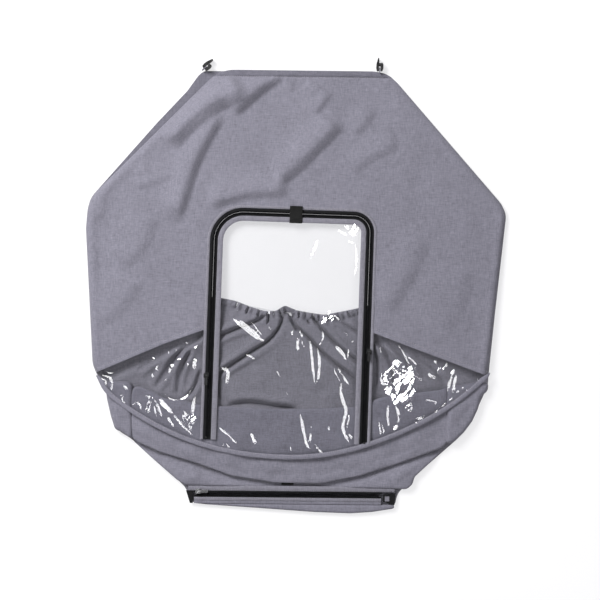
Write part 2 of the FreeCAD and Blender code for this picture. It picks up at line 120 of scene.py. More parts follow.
BACK_OPENING = [
    (-100, 328), (-250, 135), (-262, 30), (-200, -6), (-140, -16), (-114, -20),
    (-95, -24), (-71, -33), (-49, -40), (-31, -40), (-17, -31), (2, -39), (24, -43),
    (45, -46), (67, -42), (97, -36), (140, -24), (200, -8), (255, 30), (250, 130),
    (100, 325),
]
LEFT_FOOT_GUSSET = [
    (-300, -150), (-297, -178), (-291, -204), (-284, -226.5), (-274, -230), (-261.5, -239.5),
    (-255, -240), (-255, -150),
]
RIGHT_FOOT_GUSSET = [
    (235, -160), (235, -249), (249, -247), (265.6, -230.6), (278, -214),
    (287, -195), (293, -174), (303, -166), (304, -152), (290, -150),
]
SECOND_FOLD = [
    (-250, -222), (-259, -242), (-186, -305.5), (-172, -313.6), (-100, -315.5),
    (30, -317), (161, -319.5), (175, -320.5), (184, -312), (187, -301), (231, -261),
    (225, -222),
]
FOOT_END = [
    (-165.5, -341.6), (155, -344.8), (155.5, -351), (120, -356.5), (86, -358.6),
    (30, -356.5), (-60, -350), (-140, -344.5),
]


# ------------------------------------------------------------ flat geometry
def layer(y):
    """Underside of the front layer above the floor."""
    return HEM_HEIGHT - (y - HEM_Y) * LEAN


def rounded(points, radius, step):
    """A closed outline with round corners, as evenly spaced points."""
    corners = np.array(points, float)
    count = len(corners)
    line = []
    for index in range(count):
        here = corners[index]
        back = corners[index - 1] - here
        ahead = corners[(index + 1) % count] - here
        back_run = np.linalg.norm(back)
        ahead_run = np.linalg.norm(ahead)
        back = back / back_run
        ahead = ahead / ahead_run
        turn = math.pi - math.acos(np.clip(back @ ahead, -1, 1))
        if radius == 0 or turn < 0.02:
            line.append(here)
            continue
        reach = min(radius * math.tan(turn / 2), 0.45 * back_run, 0.45 * ahead_run)
        start = here + back * reach
        end = here + ahead * reach
        for t in np.linspace(0, 1, 9):
            line.append((1 - t) ** 2 * start + 2 * t * (1 - t) * here + t * t * end)
    return resampled(np.array(line), step, True)


def resampled(line, step, closed=False):
    line = np.array(line, float)
    if closed:
        line = np.vstack([line, line[:1]])
    runs = np.linalg.norm(np.diff(line, axis=0), axis=1)
    along = np.concatenate([[0], np.cumsum(runs)])
    count = max(int(round(along[-1] / step)), 3)
    at = np.linspace(0, along[-1], count + 1)
    if closed:
        at = at[:-1]
    return np.stack([np.interp(at, along, line[:, k]) for k in range(line.shape[1])], 1)


def smooth_line(points, step):
    """An open line through a few points, eased at its corners."""
    line = np.array(points, float)
    for _ in range(3):
        near = 0.75 * line[:-1] + 0.25 * line[1:]
        far = 0.25 * line[:-1] + 0.75 * line[1:]
        middle = np.stack([near, far], 1).reshape(-1, line.shape[1])
        line = np.vstack([line[:1], middle, line[-1:]])
    return resampled(line, step)


def inside(x, y, loop):
    result = np.zeros(x.shape, bool)
    ahead = np.roll(loop, -1, axis=0)
    for (x0, y0), (x1, y1) in zip(loop, ahead):
        if y0 == y1:
            continue
        crosses = (y0 > y) != (y1 > y)
        result ^= crosses & (x < (x1 - x0) * (y - y0) / (y1 - y0) + x0)
    return result


def runs_of(x, y, line):
    """Each run of a line: distance, side (left is plus), how far along, direction."""
    lengths = np.linalg.norm(np.diff(line, axis=0), axis=1)
    passed = 0.0
    for (x0, y0), (x1, y1), run in zip(line[:-1], line[1:], lengths):
        if run < 1e-9:
            continue
        tx = (x1 - x0) / run
        ty = (y1 - y0) / run
        t = np.clip((x - x0) * tx + (y - y0) * ty, 0, run)
        dx = x - x0 - t * tx
        dy = y - y0 - t * ty
        side = np.where(tx * dy - ty * dx >= 0, 1.0, -1.0)
        yield np.hypot(dx, dy), side, (passed + t) / lengths.sum(), tx, ty
        passed += run


def near_line(x, y, line, closed=False):
    """Distance to a line, its sign (left of the line is plus) and how far along."""
    if closed:
        line = np.vstack([line, line[:1]])
    best = np.full(x.shape, FAR)
    side = np.ones(x.shape)
    along = np.zeros(x.shape)
    for d, here, t, _, _ in runs_of(x, y, line):
        closer = d < best
        best = np.where(closer, d, best)
        side = np.where(closer, here, side)
        along = np.where(closer, t, along)
    return best, side, along


def gap(points, line, closed=False):
    """Distance from each point to a line."""
    return near_line(points[:, 0], points[:, 1], line, closed)[0]


def bell(distance, width):
    return np.exp(-((distance / width) ** 2))


def unpacked(extra, rows):
    """Rows of a few numbers and then coordinates, as (points, numbers...)."""
    return [(np.reshape(row[extra:], (-1, 2)), *row[:extra]) for row in rows]


def ease(t):
    t = np.clip(t, 0, 1)
    return t * t * (3 - 2 * t)


def streak(x, y, line, half):
    """A sharp fold in the clear sheet: both sides lean by the angle that mirrors a lamp."""
    best = np.full(x.shape, FAR)
    rise = 0.0 * x
    for d, side, along, tx, ty in runs_of(x, y, line):
        outward = side * (tx * (y - LAMPS_ROUND_Y) - ty * x)
        lean = np.radians(STREAK_LEAN - STREAK_LEAN_FALL * outward)
        ends = np.clip(np.minimum(along, 1 - along) / 0.22, 0.02, 1)
        here = np.maximum(0.4 * half * np.sqrt(ends) - np.tan(lean) * d, 0)
        closer = d < best
        best = np.where(closer, d, best)
        rise = np.where(closer, here, rise)
    return rise


def crease(x, y, path, width, height, taper=0.3):
    """A soft fold with a crisp valley along the path and its swell on the path's left."""
    d, side, t = near_line(x, y, smooth_line(path, 5.0))
    ends = ease(np.minimum(t, 1 - t) / taper)
    far = d / width
    climb = 1 - (1 - np.clip(far, 0, 1)) ** 1.25
    return height * ends * np.where(side > 0, climb * bell(np.maximum(far - 1, 0), 1.8), 0.0)


def valley(x, y, path, width, depth):
    """A narrow deep fold between two raised shoulders."""
    d, _, t = near_line(x, y, smooth_line(path, 4.0))
    ends = ease(np.minimum(t + 0.12, 1 - t) / 0.25)
    return depth * ends * (0.35 * bell(d - 2.6 * width, 1.6 * width) - bell(d, width))


def waves(x, y, size, seed, rows=9):
    """Smooth seeded unevenness from a few crossing waves, about -1 to 1."""
    random = np.random.default_rng(seed)
    total = np.zeros(x.shape)
    for _ in range(rows):
        angle = random.uniform(0, math.tau)
        k = math.tau / (size * random.uniform(0.6, 1.6))
        shift = random.uniform(0, math.tau)
        bend = 0.6 * np.sin(k * 0.4 * (x * math.sin(angle) - y * math.cos(angle)) + shift)
        total += np.sin(k * (x * math.cos(angle) + y * math.sin(angle)) + shift + bend)
    return total / math.sqrt(rows)


def roll(d, radius, drop):
    """How far a cloth edge has turned down, at a distance d from the edge."""
    t = np.clip(d / radius, 0, 1)
    return -drop * (1 - np.sqrt(np.clip(1 - (1 - t) ** 2, 0, 1)))


# ------------------------------------------------------------- window frame
def turned(origin, angle, u, v):
    """x and y of a point given in a turned frame."""
    c = math.cos(angle)
    s = math.sin(angle)
    return origin[0] + c * u - s * v, origin[1] + s * u + c * v


def window_xy(u, v):
    return turned(WINDOW_ORIGIN, WINDOW_TURN, u, v)


def window_path(foot, step):
    """The U zip's centre line: points, outward directions and how far along, in u and v."""
    corners = []
    for side, radius, count in ((-1, ROUND_LEFT, 25), (1, ROUND_RIGHT, 21)):
        corner = [(side * WINDOW_HALF, foot, side, 0.0)]
        for t in np.linspace(0, math.pi / 2, count):
            c = math.cos(t)
            s = math.sin(t)
            corner.append((side * (WINDOW_HALF - radius * (1 - c)),
                           WINDOW_TOP - radius * (1 - s), side * c, s))
        corners.append(corner[::-side])
    rows = np.array(corners[0] + corners[1])
    lengths = np.linalg.norm(np.diff(rows[:, :2], axis=0), axis=1)
    along = np.concatenate([[0], np.cumsum(lengths)])
    at = np.linspace(0, along[-1], int(along[-1] / step) + 1)
    even = np.stack([np.interp(at, along, rows[:, k]) for k in range(4)], 1)
    return even[:, :2], even[:, 2:], at


def window_loop(grow, foot, step):
    """Edge of the area inside the zip's path, moved out by grow, in x and y."""
    centre, out, _ = window_path(foot, step)
    edge = centre + out * grow
    edge = resampled(edge, step)
    base = np.stack([np.linspace(edge[-1, 0], edge[0, 0], int(2 * WINDOW_HALF / step))[1:-1]] * 2, 1)
    base[:, 1] = foot
    loop = np.vstack([edge, base])
    x, y = window_xy(loop[:, 0], loop[:, 1])
    return np.stack([x, y], 1)


# ------------------------------------------------------------- mesh making
def make_object(name, points, faces, sharp=None):
    if name in bpy.data.objects:
        name += "_detail"
    mesh = bpy.data.meshes.new(name)
    points = np.asarray(points, float) * MM
    mesh.from_pydata(points.tolist(), [], faces)
    mesh.validate()
    mesh.shade_smooth()
    if sharp:
        mesh.set_sharp_from_angle(angle=math.radians(sharp))
    piece = bpy.data.objects.new(name, mesh)
    bpy.context.scene.collection.objects.link(piece)
    return piece


def fill(loops, keep, step, rings=(), crests=()):
    """Even triangles over an area.  loops are (points, closed) lines that it keeps."""
    every = np.vstack([line for line, _ in loops])
    low = every.min(0)
    high = every.max(0)
    rise = step * math.sqrt(0.75)
    rows = []
    for index, y in enumerate(np.arange(low[1], high[1], rise)):
        start = low[0] + (step / 2 if index % 2 else 0.0)
        xs = np.arange(start, high[0], step)
        rows.append(np.stack([xs, np.full(xs.shape, y)], 1))
    grid = np.vstack(rows)
    grid = grid[keep(grid[:, 0], grid[:, 1])]
    room = max(rings) if rings else 0.0
    open_crests = [(line, False) for line in crests]
    for lines, clear in ((loops, room + 0.6 * step), (open_crests, 0.6 * step)):
        for line, closed in lines:
            grid = grid[gap(grid, line, closed) > clear]
    points = [grid]
    edges = []
    count = len(grid)
    for line, closed in loops + open_crests:
        points.append(line)
        last = len(line) if closed else len(line) - 1
        for k in range(last):
            edges.append((count + k, count + (k + 1) % len(line)))
        count += len(line)
    for distance in rings:
        for line, closed in loops:
            ahead = np.roll(line, -1, axis=0) - np.roll(line, 1, axis=0)
            ahead /= np.linalg.norm(ahead, axis=1)[:, None]
            for sign in (-1, 1):
                ring = line + sign * distance * np.stack([-ahead[:, 1], ahead[:, 0]], 1)
                ring = ring[keep(ring[:, 0], ring[:, 1])]
                if not len(ring):
                    continue
                far = np.ones(len(ring), bool)
                for other, shut in loops:
                    far &= gap(ring, other, shut) > 0.9 * distance
                points.append(ring[far])
    flat = np.vstack(points)
    made = delaunay_2d_cdt([Vector(p) for p in flat.tolist()], edges, [], 0, 1e-4)
    flat = np.array([tuple(p) for p in made[0]])
    triangles = np.array([face for face in made[2] if len(face) == 3])
    middle = flat[triangles].mean(axis=1)
    triangles = triangles[keep(middle[:, 0], middle[:, 1])]
    a, b, c = (flat[triangles[:, k]] for k in range(3))
    area = (b[:, 0] - a[:, 0]) * (c[:, 1] - a[:, 1]) - (b[:, 1] - a[:, 1]) * (c[:, 0] - a[:, 0])
    triangles = triangles[np.abs(area) > 1e-4]
    area = area[np.abs(area) > 1e-4]
    triangles[area < 0] = triangles[area < 0][:, ::-1]
    used = np.unique(triangles)
    place = np.full(len(flat), -1)
    place[used] = np.arange(len(used))
    return flat[used], place[triangles]


def shell(name, flat, triangles, top, thick, sharp=55):
    """A closed sheet whose upper side has the given heights."""
    count = len(flat)
    upper = np.column_stack([flat, top])
    lower = np.column_stack([flat, top - thick])
    lower[:, 2] = np.maximum(lower[:, 2], 0.05)
    upper[:, 2] = np.maximum(upper[:, 2], lower[:, 2] + 0.25)
    directed = np.vstack([triangles[:, [0, 1]], triangles[:, [1, 2]], triangles[:, [2, 0]]])
    known = set(map(tuple, directed.tolist()))
    rim = [(a, b) for a, b in known if (b, a) not in known]
    rim.sort()
    faces = triangles.tolist()
    faces += (triangles[:, ::-1] + count).tolist()
    faces += [(b, a, a + count, b + count) for a, b in rim]
    return make_object(name, np.vstack([upper, lower]), faces, sharp)


def tube_faces(rings, sides, first=0):
    """Quads between neighbouring rings of points."""
    faces = []
    for ring in range(rings - 1):
        base = first + ring * sides
        for k in range(sides):
            m = (k + 1) % sides
            faces.append((base + k, base + m, base + sides + m, base + sides + k))
    return faces


def sweep(name, rows):
    """A closed strip from rings of points, each ring one cross-section."""
    rings = np.asarray(rows, float)
    count, around, _ = rings.shape
    faces = tube_faces(count, around)
    faces.append(tuple(range(around))[::-1])
    faces.append(tuple((count - 1) * around + k for k in range(around)))
    return turned_out(make_object(name, rings.reshape(-1, 3), faces, 50))


def turned_out(piece):
    """Faces point outwards."""
    work = bmesh.new()
    work.from_mesh(piece.data)
    bmesh.ops.recalc_face_normals(work, faces=work.faces[:])
    work.to_mesh(piece.data)
    work.free()
    return piece


def pillow(near, far, low, high, crown=0.35, count=7):
    """Cross-section of a folded tape: flat below, softly crowned above."""
    across = far - near
    points = [(near + 0.12 * across, low), (far - 0.12 * across, low)]
    for t in np.linspace(1, 0, count):
        bulge = math.sin(math.pi * min(max(t, 0), 1)) ** 0.6
        points.append((near + across * t, low + (high - low) * (1 - crown + crown * bulge)))
    return points


def band_rows(path, out, profile, height, place, wobble):
    """Rings of a strip that follows a path: profile is (distance out, height)."""
    rows = []
    for point, normal, lift in zip(path, out, wobble):
        ring = []
        for s, w in profile:
            x, y = place(*(point + normal * s))
            ring.append((x, y, height(y) + w + lift))
        rows.append(ring)
    return rows


def plain(x, y):
    return x, y


def copies(name, frames, unit, faces):
    """Many copies of a small solid: each frame turns the unit's points into x, y, z."""
    points = []
    every = []
    for frame_of in frames:
        base = len(points)
        points += [frame_of(*point) for point in unit]
        every += [tuple(base + k for k in face) for face in faces]
    return turned_out(make_object(name, np.array(points), every, 60))


def capsule(length, radius, sides):
    """A small rounded stitch lying along its first axis."""
    unit = [(-length / 2, 0, 0)]
    for at, wide in ((-0.36, 0.8), (0.0, 1.0), (0.36, 0.8)):
        for k in range(sides):
            turn = math.tau * k / sides
            unit.append((at * length, wide * radius * math.cos(turn),
                         wide * radius * math.sin(turn)))
    unit.append((length / 2, 0, 0))
    faces = tube_faces(3, sides, 1)
    for k in range(sides):
        m = (k + 1) % sides
        faces.append((0, 1 + m, 1 + k))
        faces.append((1 + 2 * sides + k, 1 + 2 * sides + m, 1 + 3 * sides))
    return unit, faces


def stitch_frame(start, end):
    centre = (start + end) / 2
    tangent = (end - start) / np.linalg.norm(end - start)
    across = np.cross((0.0, 0.0, 1.0), tangent)
    across /= np.linalg.norm(across)
    lift = np.cross(tangent, across)
    return lambda a, b, c: centre + tangent * a + across * b + lift * c


def stitches(name, lines):
    """Rows of thread along lines given as x, y, z points."""
    frames = []
    for line in lines:
        even = resampled(line, STITCH_PITCH)
        frames += [stitch_frame(*ends) for ends in zip(even[:-1], even[1:])]
    return copies(name, frames, *capsule(STITCH_LENGTH, STITCH_RADIUS, STITCH_SIDES))


def coil_frame(point, normal, place, height):
    x0, y0 = place(*point)
    x1, y1 = place(*(point + normal))

    def at(s, t, w):
        y = y0 + (y1 - y0) * s + (x1 - x0) * t
        return x0 + (x1 - x0) * s - (y1 - y0) * t, y, height(y) + w
    return at


def coil_row(name, path, out, near, far, place, height):
    """One side of a coil zip: a row of round-backed loops across the tape."""
    unit = []
    for at, wide in ((0.0, 0.55), (0.18, 0.95), (0.8, 1.0), (1.0, 0.7)):
        for k in range(COIL_SIDES):
            turn = math.tau * (k + 0.5) / COIL_SIDES
            unit.append((near + (far - near) * at, 0.62 * wide * math.cos(turn),
                         COIL_HEIGHT / 2 * (1 + 0.92 * wide * math.sin(turn))))
    faces = tube_faces(4, COIL_SIDES)
    faces += [tuple(range(COIL_SIDES)), tuple(range(3 * COIL_SIDES, 4 * COIL_SIDES))]
    frames = [coil_frame(*pair, place, height) for pair in zip(path, out)]
    return copies(name, frames, unit, faces)


# --------------------------------------------------------------- materials
class Nodes:
    """A material's node tree with short calls."""

    def __init__(self, name):
        self.material = bpy.data.materials.new(name)
        self.material.use_nodes = True
        self.tree = self.material.node_tree
        self.shader = self.tree.nodes["Principled BSDF"]
        self.output = self.tree.nodes["Material Output"]
        self.place = self.add("ShaderNodeTexCoord").outputs["Object"]

    def add(self, kind, **values):
        node = self.tree.nodes.new(kind)
        for key, value in values.items():
            setattr(node, key, value)
        return node

    def link(self, source, target):
        self.tree.links.new(source, target)

    def math(self, kind, first, second=None, third=None):
        node = self.add("ShaderNodeMath", operation=kind)
        for socket, value in zip(node.inputs, (first, second, third)):
            if value is None:
                continue
            if isinstance(value, (int, float)):
                socket.default_value = value
            else:
                self.link(value, socket)
        return node.outputs[0]

    def mapped(self, stretch, turn):
        mapping = self.add("ShaderNodeMapping")
        mapping.inputs["Scale"].default_value = stretch
        mapping.inputs["Rotation"].default_value = (0, 0, turn)
        self.link(self.place, mapping.inputs["Vector"])
        return mapping.outputs[0]

    def noise(self, scale, stretch=PLAIN, detail=2.0, rough=0.5, turn=0.0):
        node = self.add("ShaderNodeTexNoise")
        node.inputs["Scale"].default_value = scale
        node.inputs["Detail"].default_value = detail
        node.inputs["Roughness"].default_value = rough
        self.link(self.mapped(stretch, turn), node.inputs["Vector"])
        return node.outputs["Fac"]

    def stripes(self, period, axis, turn=0.0):
        """0 to 1 ribs with the given period in metres."""
        split = self.add("ShaderNodeSeparateXYZ")
        self.link(self.mapped(PLAIN, turn), split.inputs[0])
        along = self.math("MULTIPLY", split.outputs[axis], math.tau / period)
        wave = self.math("SINE", along)
        return self.math("MULTIPLY_ADD", wave, 0.5, 0.5)

    def ramp(self, factor, stops):
        node = self.add("ShaderNodeValToRGB")
        self.link(factor, node.inputs[0])
        elements = node.color_ramp.elements
        while len(elements) < len(stops):
            elements.new(0.5)
        for element, (at, colour) in zip(elements, stops):
            element.position = at
            element.color = (*colour, 1)
        return node.outputs[0]

    def bump(self, height, distance, strength=1.0, below=None):
        node = self.add("ShaderNodeBump")
        node.inputs["Strength"].default_value = strength
        node.inputs["Distance"].default_value = distance
        self.link(height, node.inputs["Height"])
        if below is not None:
            self.link(below, node.inputs["Normal"])
        return node.outputs[0]

    def range(self, factor, low, high):
        node = self.add("ShaderNodeMapRange")
        self.link(factor, node.inputs["Value"])
        node.inputs["To Min"].default_value = low
        node.inputs["To Max"].default_value = high
        return node.outputs[0]

    def set(self, **values):
        for key, value in values.items():
            self.shader.inputs[key.replace("_", " ")].default_value = value

    def drive(self, **sources):
        for key, source in sources.items():
            self.link(source, self.shader.inputs[key.replace("_", " ")])


def heather(name, dark, light, yarn=0.0007, turn=0.0):
    """Two-tone yarns in a plain weave, with long slubs both ways."""
    n = Nodes(name)
    warp = n.noise(900, (0.10, 1.0, 1.0), 2.0, 0.6, turn)
    weft = n.noise(900, (1.0, 0.10, 1.0), 2.0, 0.6, turn)
    slub = n.noise(420, (1.0, 0.25, 1.0), 2.0, 0.5, turn)
    patch = n.noise(22, PLAIN, 3.0, 0.5)
    over = n.stripes(yarn * 2, 0, turn)
    under = n.stripes(yarn * 2, 1, turn)
    cell = n.math("MULTIPLY", over, under)
    mixed = n.math("MULTIPLY_ADD", warp, 0.42, n.math("MULTIPLY", weft, 0.30))
    mixed = n.math("MULTIPLY_ADD", slub, 0.20, mixed)
    mixed = n.math("MULTIPLY_ADD", patch, 0.08, mixed)
    mixed = n.math("MULTIPLY_ADD", cell, 0.03, mixed)
    colour = n.ramp(mixed, ((0.30, dark), (0.70, light)))
    threads = n.math("MAXIMUM", over, under)
    surface = n.bump(threads, 0.00022, 0.6)
    surface = n.bump(n.math("MULTIPLY_ADD", slub, 0.6, warp), 0.00035, 0.7, surface)
    n.drive(Base_Color=colour, Roughness=n.range(warp, 0.72, 0.95), Normal=surface)
    n.set(Sheen_Weight=0.12, Sheen_Roughness=0.5, Specular_IOR_Level=0.25)
    return n.material


def ribbed(name, dark, light, period, axis, roughness, turn=0.0, sheen=0.1, gloss=0.3):
    """A woven tape or webbing, with ribs across it."""
    n = Nodes(name)
    ribs = n.stripes(period, axis, turn)
    threads = n.noise(1400, PLAIN, 2.0, 0.6)
    worn = n.noise(60, PLAIN, 3.0, 0.5)
    mixed = n.math("MULTIPLY_ADD", threads, 0.6, n.math("MULTIPLY", worn, 0.4))
    surface = n.bump(ribs, 0.00025, 0.8)
    n.drive(Base_Color=n.ramp(mixed, ((0.3, dark), (0.7, light))),
            Roughness=n.range(threads, roughness - 0.1, roughness + 0.1),
            Normal=n.bump(threads, 0.0002, 0.5, surface))
    n.set(Sheen_Weight=sheen, Sheen_Roughness=0.4, Specular_IOR_Level=gloss)
    return n.material


def moulded(name, colour, roughness, grain=700, metal=0.0, worn=0.08, gloss=0.5):
    """Moulded plastic or plated metal, with fine grain and rubbed patches."""
    n = Nodes(name)
    fine = n.noise(grain * 2, PLAIN, 3.0, 0.6)
    rubbed = n.noise(240, PLAIN, 3.0, 0.6)
    light = tuple(min(c + worn * (0.3 + c), 1.0) for c in colour)
    n.drive(Base_Color=n.ramp(rubbed, ((0.42, colour), (0.75, light))),
            Roughness=n.range(rubbed, roughness - 0.08, roughness + 0.12),
            Normal=n.bump(fine, 0.00006, 0.5))
    n.set(Metallic=metal, Specular_IOR_Level=gloss)
    return n.material


def clear_film(name, tint):
    """Soft clear sheet: it shows what is behind it and mirrors the lamps."""
    wrinkle = 0.00014
    n = Nodes(name)
    through = n.add("ShaderNodeBsdfTransparent")
    through.inputs["Color"].default_value = (*tint, 1)
    gloss = n.add("ShaderNodeBsdfGlossy")
    gloss.inputs["Color"].default_value = (1, 1, 1, 1)
    gloss.inputs["Roughness"].default_value = 0.06
    fine = n.noise(130, PLAIN, 2.0, 0.55)
    broad = n.noise(45, PLAIN, 2.0, 0.5, 0.6)
    surface = n.bump(fine, wrinkle, 0.5)
    surface = n.bump(broad, wrinkle * 2.2, 0.5, surface)
    weight = n.add("ShaderNodeLayerWeight")
    n.link(surface, weight.inputs["Normal"])
    n.link(surface, gloss.inputs["Normal"])
    grazing = n.math("POWER", weight.outputs["Facing"], 5.0)
    mirrored = n.math("MULTIPLY_ADD", grazing, 0.9, 0.075)
    mix = n.add("ShaderNodeMixShader")
    n.link(mirrored, mix.inputs[0])
    n.link(through.outputs[0], mix.inputs[1])
    n.link(gloss.outputs[0], mix.inputs[2])
    n.link(mix.outputs[0], n.output.inputs["Surface"])
    n.tree.nodes.remove(n.shader)
    return n.material


fabric = heather("heather_cloth", (0.078, 0.0755, 0.094), (0.178, 0.1725, 0.212))
# A slightly lighter copy of the cover cloth: painted light that makes up for the light the clear sheets
# hold back from the back layer.
lightened_back_cloth = heather("inner_cloth", (0.077, 0.0745, 0.090), (0.190, 0.184, 0.216), 0.0007, 0.5)
# A darker copy of the cover cloth: painted shade for the turned edges of the top hem and the top-left
# corner.
turned_edge = heather("turned_edge", (0.052, 0.050, 0.064), (0.125, 0.121, 0.151))
trim = heather("grey_binding", (0.084, 0.081, 0.098), (0.184, 0.178, 0.212), 0.0005)
black_tape = ribbed("zip_tape", (0.005, 0.005, 0.006), (0.013, 0.013, 0.014), 0.0010, 1, 0.85,
                    sheen=0.0, gloss=0.08)
black_webbing = ribbed("webbing", (0.005, 0.005, 0.005), (0.014, 0.014, 0.014), 0.0014, 1, 0.85,
                       sheen=0.0, gloss=0.08)
thread = ribbed("thread", (0.17, 0.165, 0.18), (0.28, 0.27, 0.295), 0.0006, 0, 0.6)
coil_plastic = moulded("zip_coil", (0.006, 0.006, 0.007), 0.6, worn=0.005, gloss=0.12)
slider_black = moulded("black_slider", (0.010, 0.010, 0.011), 0.36, 900, 0.0, 0.03, gloss=0.35)
slider_bright = moulded("bright_slider", (0.62, 0.62, 0.64), 0.26, 900, 1.0, 0.2)
clip_plastic = moulded("clip_plastic", (0.008, 0.008, 0.009), 0.5, 500, worn=0.02, gloss=0.25)
spring_steel = moulded("spring_steel", (0.055, 0.055, 0.06), 0.45, 900, 0.6, 0.02)
elastic = ribbed("elastic", (0.55, 0.55, 0.56), (0.72, 0.72, 0.73), 0.0009, 0, 0.8)
film = clear_film("clear_sheet", (0.980, 0.981, 0.986))


def put(piece, body, slot, material, *nodes):
    """Give a piece its material, hide the CAD nodes it stands for and hang it on its body; slot is not
    used.
    """
    piece.data.materials.clear()
    piece.data.materials.append(material)
    if nodes:
        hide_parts(*nodes)
    if body:
        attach(piece, body)
    return piece


def paint_edge_shade(piece, where):
    """Give the faces where where(x, y) is true a darker copy of the cover cloth, painted shade for a
    turned edge.
    """
    piece.data.materials.append(turned_edge)
    for face in piece.data.polygons:
        if where(face.center.x / MM, face.center.y / MM):
            face.material_index = 1


# ------------------------------------------------------------------- hood
HOOD_CREASES = unpacked(2, [
    # width of the shaded side, height, then x,y of each point
    (14, 5, -100,262, -80,272, -62,290, -49,301, -29,316, -12,331),
    (20, 6.6, -190,206, -155,245, -128,266, -106,278, -88,286, -66,298),
    (13, 4.6, -180,92, -168,127, -157,165, -146,196, -130,226, -113,255, -104,271),
    (13, 3.6, -138,118, -93,127, -75,134, -45,137, -8,136),
    (16, 4.4, -30,152, -5,164, 17,184, 43,211, 72,239, 82,258), (9, 1.8, 33,264, 48,281, 60,300),
    (12, 1.8, 96,231, 122,256, 130,274), (12, 1.8, 94,170, 103,178, 131,200, 165,210),
    (6, 0.8, -96,319, -95,331), (6, 1, -2,303, 0,329), (6, 0.8, 41,314, 22,327),
    (10, 1, -228,172, -228,224), (13, 1.5, -298,100, -293,136, -284,166),
    (10, 1.3, -256,147, -206,158, -186,178), (16, 1.8, -262,20, -225,60, -212,110),
    (18, 1.6, -300,-70, -250,-30, -235,10), (18, 1.8, 150,-50, 200,20, 215,80),
    (20, 1.4, 235,-90, 275,-30, 282,30),
])
FRONT_LOOP = rounded(FRONT_OUTLINE, 60.0, 3.0)
COVER_LOOP = rounded(COVER_OUTLINE, 40.0, 3.0)
HOOD_SIDE = np.array(
    [(-400, 400), (400, 400), (400, -178)] + HOOD_FOOT_RIGHT[1:] + [(0, -26)]
    + HOOD_FOOT_LEFT[:4] + [(-400, -171)], float)
WINDOW_HOLE = window_loop(9.0, -60.0, 3.0)
TOP_HEM = np.array([(-119.5, 330.0), (145, 326.8)], float)


def in_front(x, y):
    return inside(x, y, FRONT_LOOP)


def in_hood(x, y):
    return in_front(x, y) & inside(x, y, HOOD_SIDE) & ~inside(x, y, WINDOW_HOLE)


def hood_rise(x, y):
    """The hood's creases and unevenness above the plain front layer."""
    rise = 0.0 * x
    for path, width, height in HOOD_CREASES:
        rise += crease(x, y, path, width, CREASE_SCALE * height, CREASE_TAPER)
    return rise + 0.8 * waves(x, y, 130, 3) + 0.22 * waves(x, y, 38, 4)


def front_settle(x, y):
    """0 at the cover's edge and round the window, 1 where the hood is free."""
    d, _, _ = near_line(x, y, FRONT_LOOP, True)
    w, _, _ = near_line(x, y, WINDOW_HOLE, True)
    return ease(d / 24.0) * ease((w + 4.0) / 22.0), d


def over_hem_seam(x, y, clear):
    """Whether a point lies above the top hem's seam."""
    return y > 329.0 + clear - 0.012 * (x + 119.5)


def build_hood():
    right = resampled(HOOD_FOOT_RIGHT, 3.0)
    left = resampled(HOOD_FOOT_LEFT, 3.0)
    seam = resampled(TOP_HEM, 3.0)
    loops = [(FRONT_LOOP, True), (WINDOW_HOLE, True), (right, False), (left, False),
             (seam, False)]
    flat, triangles = fill(loops, in_hood, 3.6, (1.2, 3.0, 5.2, 7.0))
    x, y = flat.T
    settle, d = front_settle(x, y)
    top = layer(y) + 1.7 + hood_rise(x, y) * settle
    top += bell(d - 10, 5.0) + roll(d, 9.0, np.maximum(layer(y) - 1.4, 0.6))
    foot = np.minimum(gap(flat, right), gap(flat, left))
    top += 0.5 * bell(foot - 3.0, 2.2) - 0.6 * bell(foot - 7.0, 1.3)
    hem = gap(flat, TOP_HEM)
    above = over_hem_seam(x, y, 0.0)
    top -= 1.3 * bell(hem, 1.5)
    top += 0.45 * waves(x, 0.3 * y, 10, 17) * bell(hem, 9.0) * ~above
    top += np.where(above & (hem > 1.0), 0.5, 0.0)
    hood = shell("hood", flat, triangles, top, CLOTH)
    put(hood, "cover", "woven_fabric", fabric, "hood_panel", "top_hem",
        "side_fold_left", "side_fold_right")
    # Painted shade: the band above the top hem's seam gets the darker copy of the cover cloth.
    paint_edge_shade(hood, lambda x, y: over_hem_seam(x, y, 0.5))


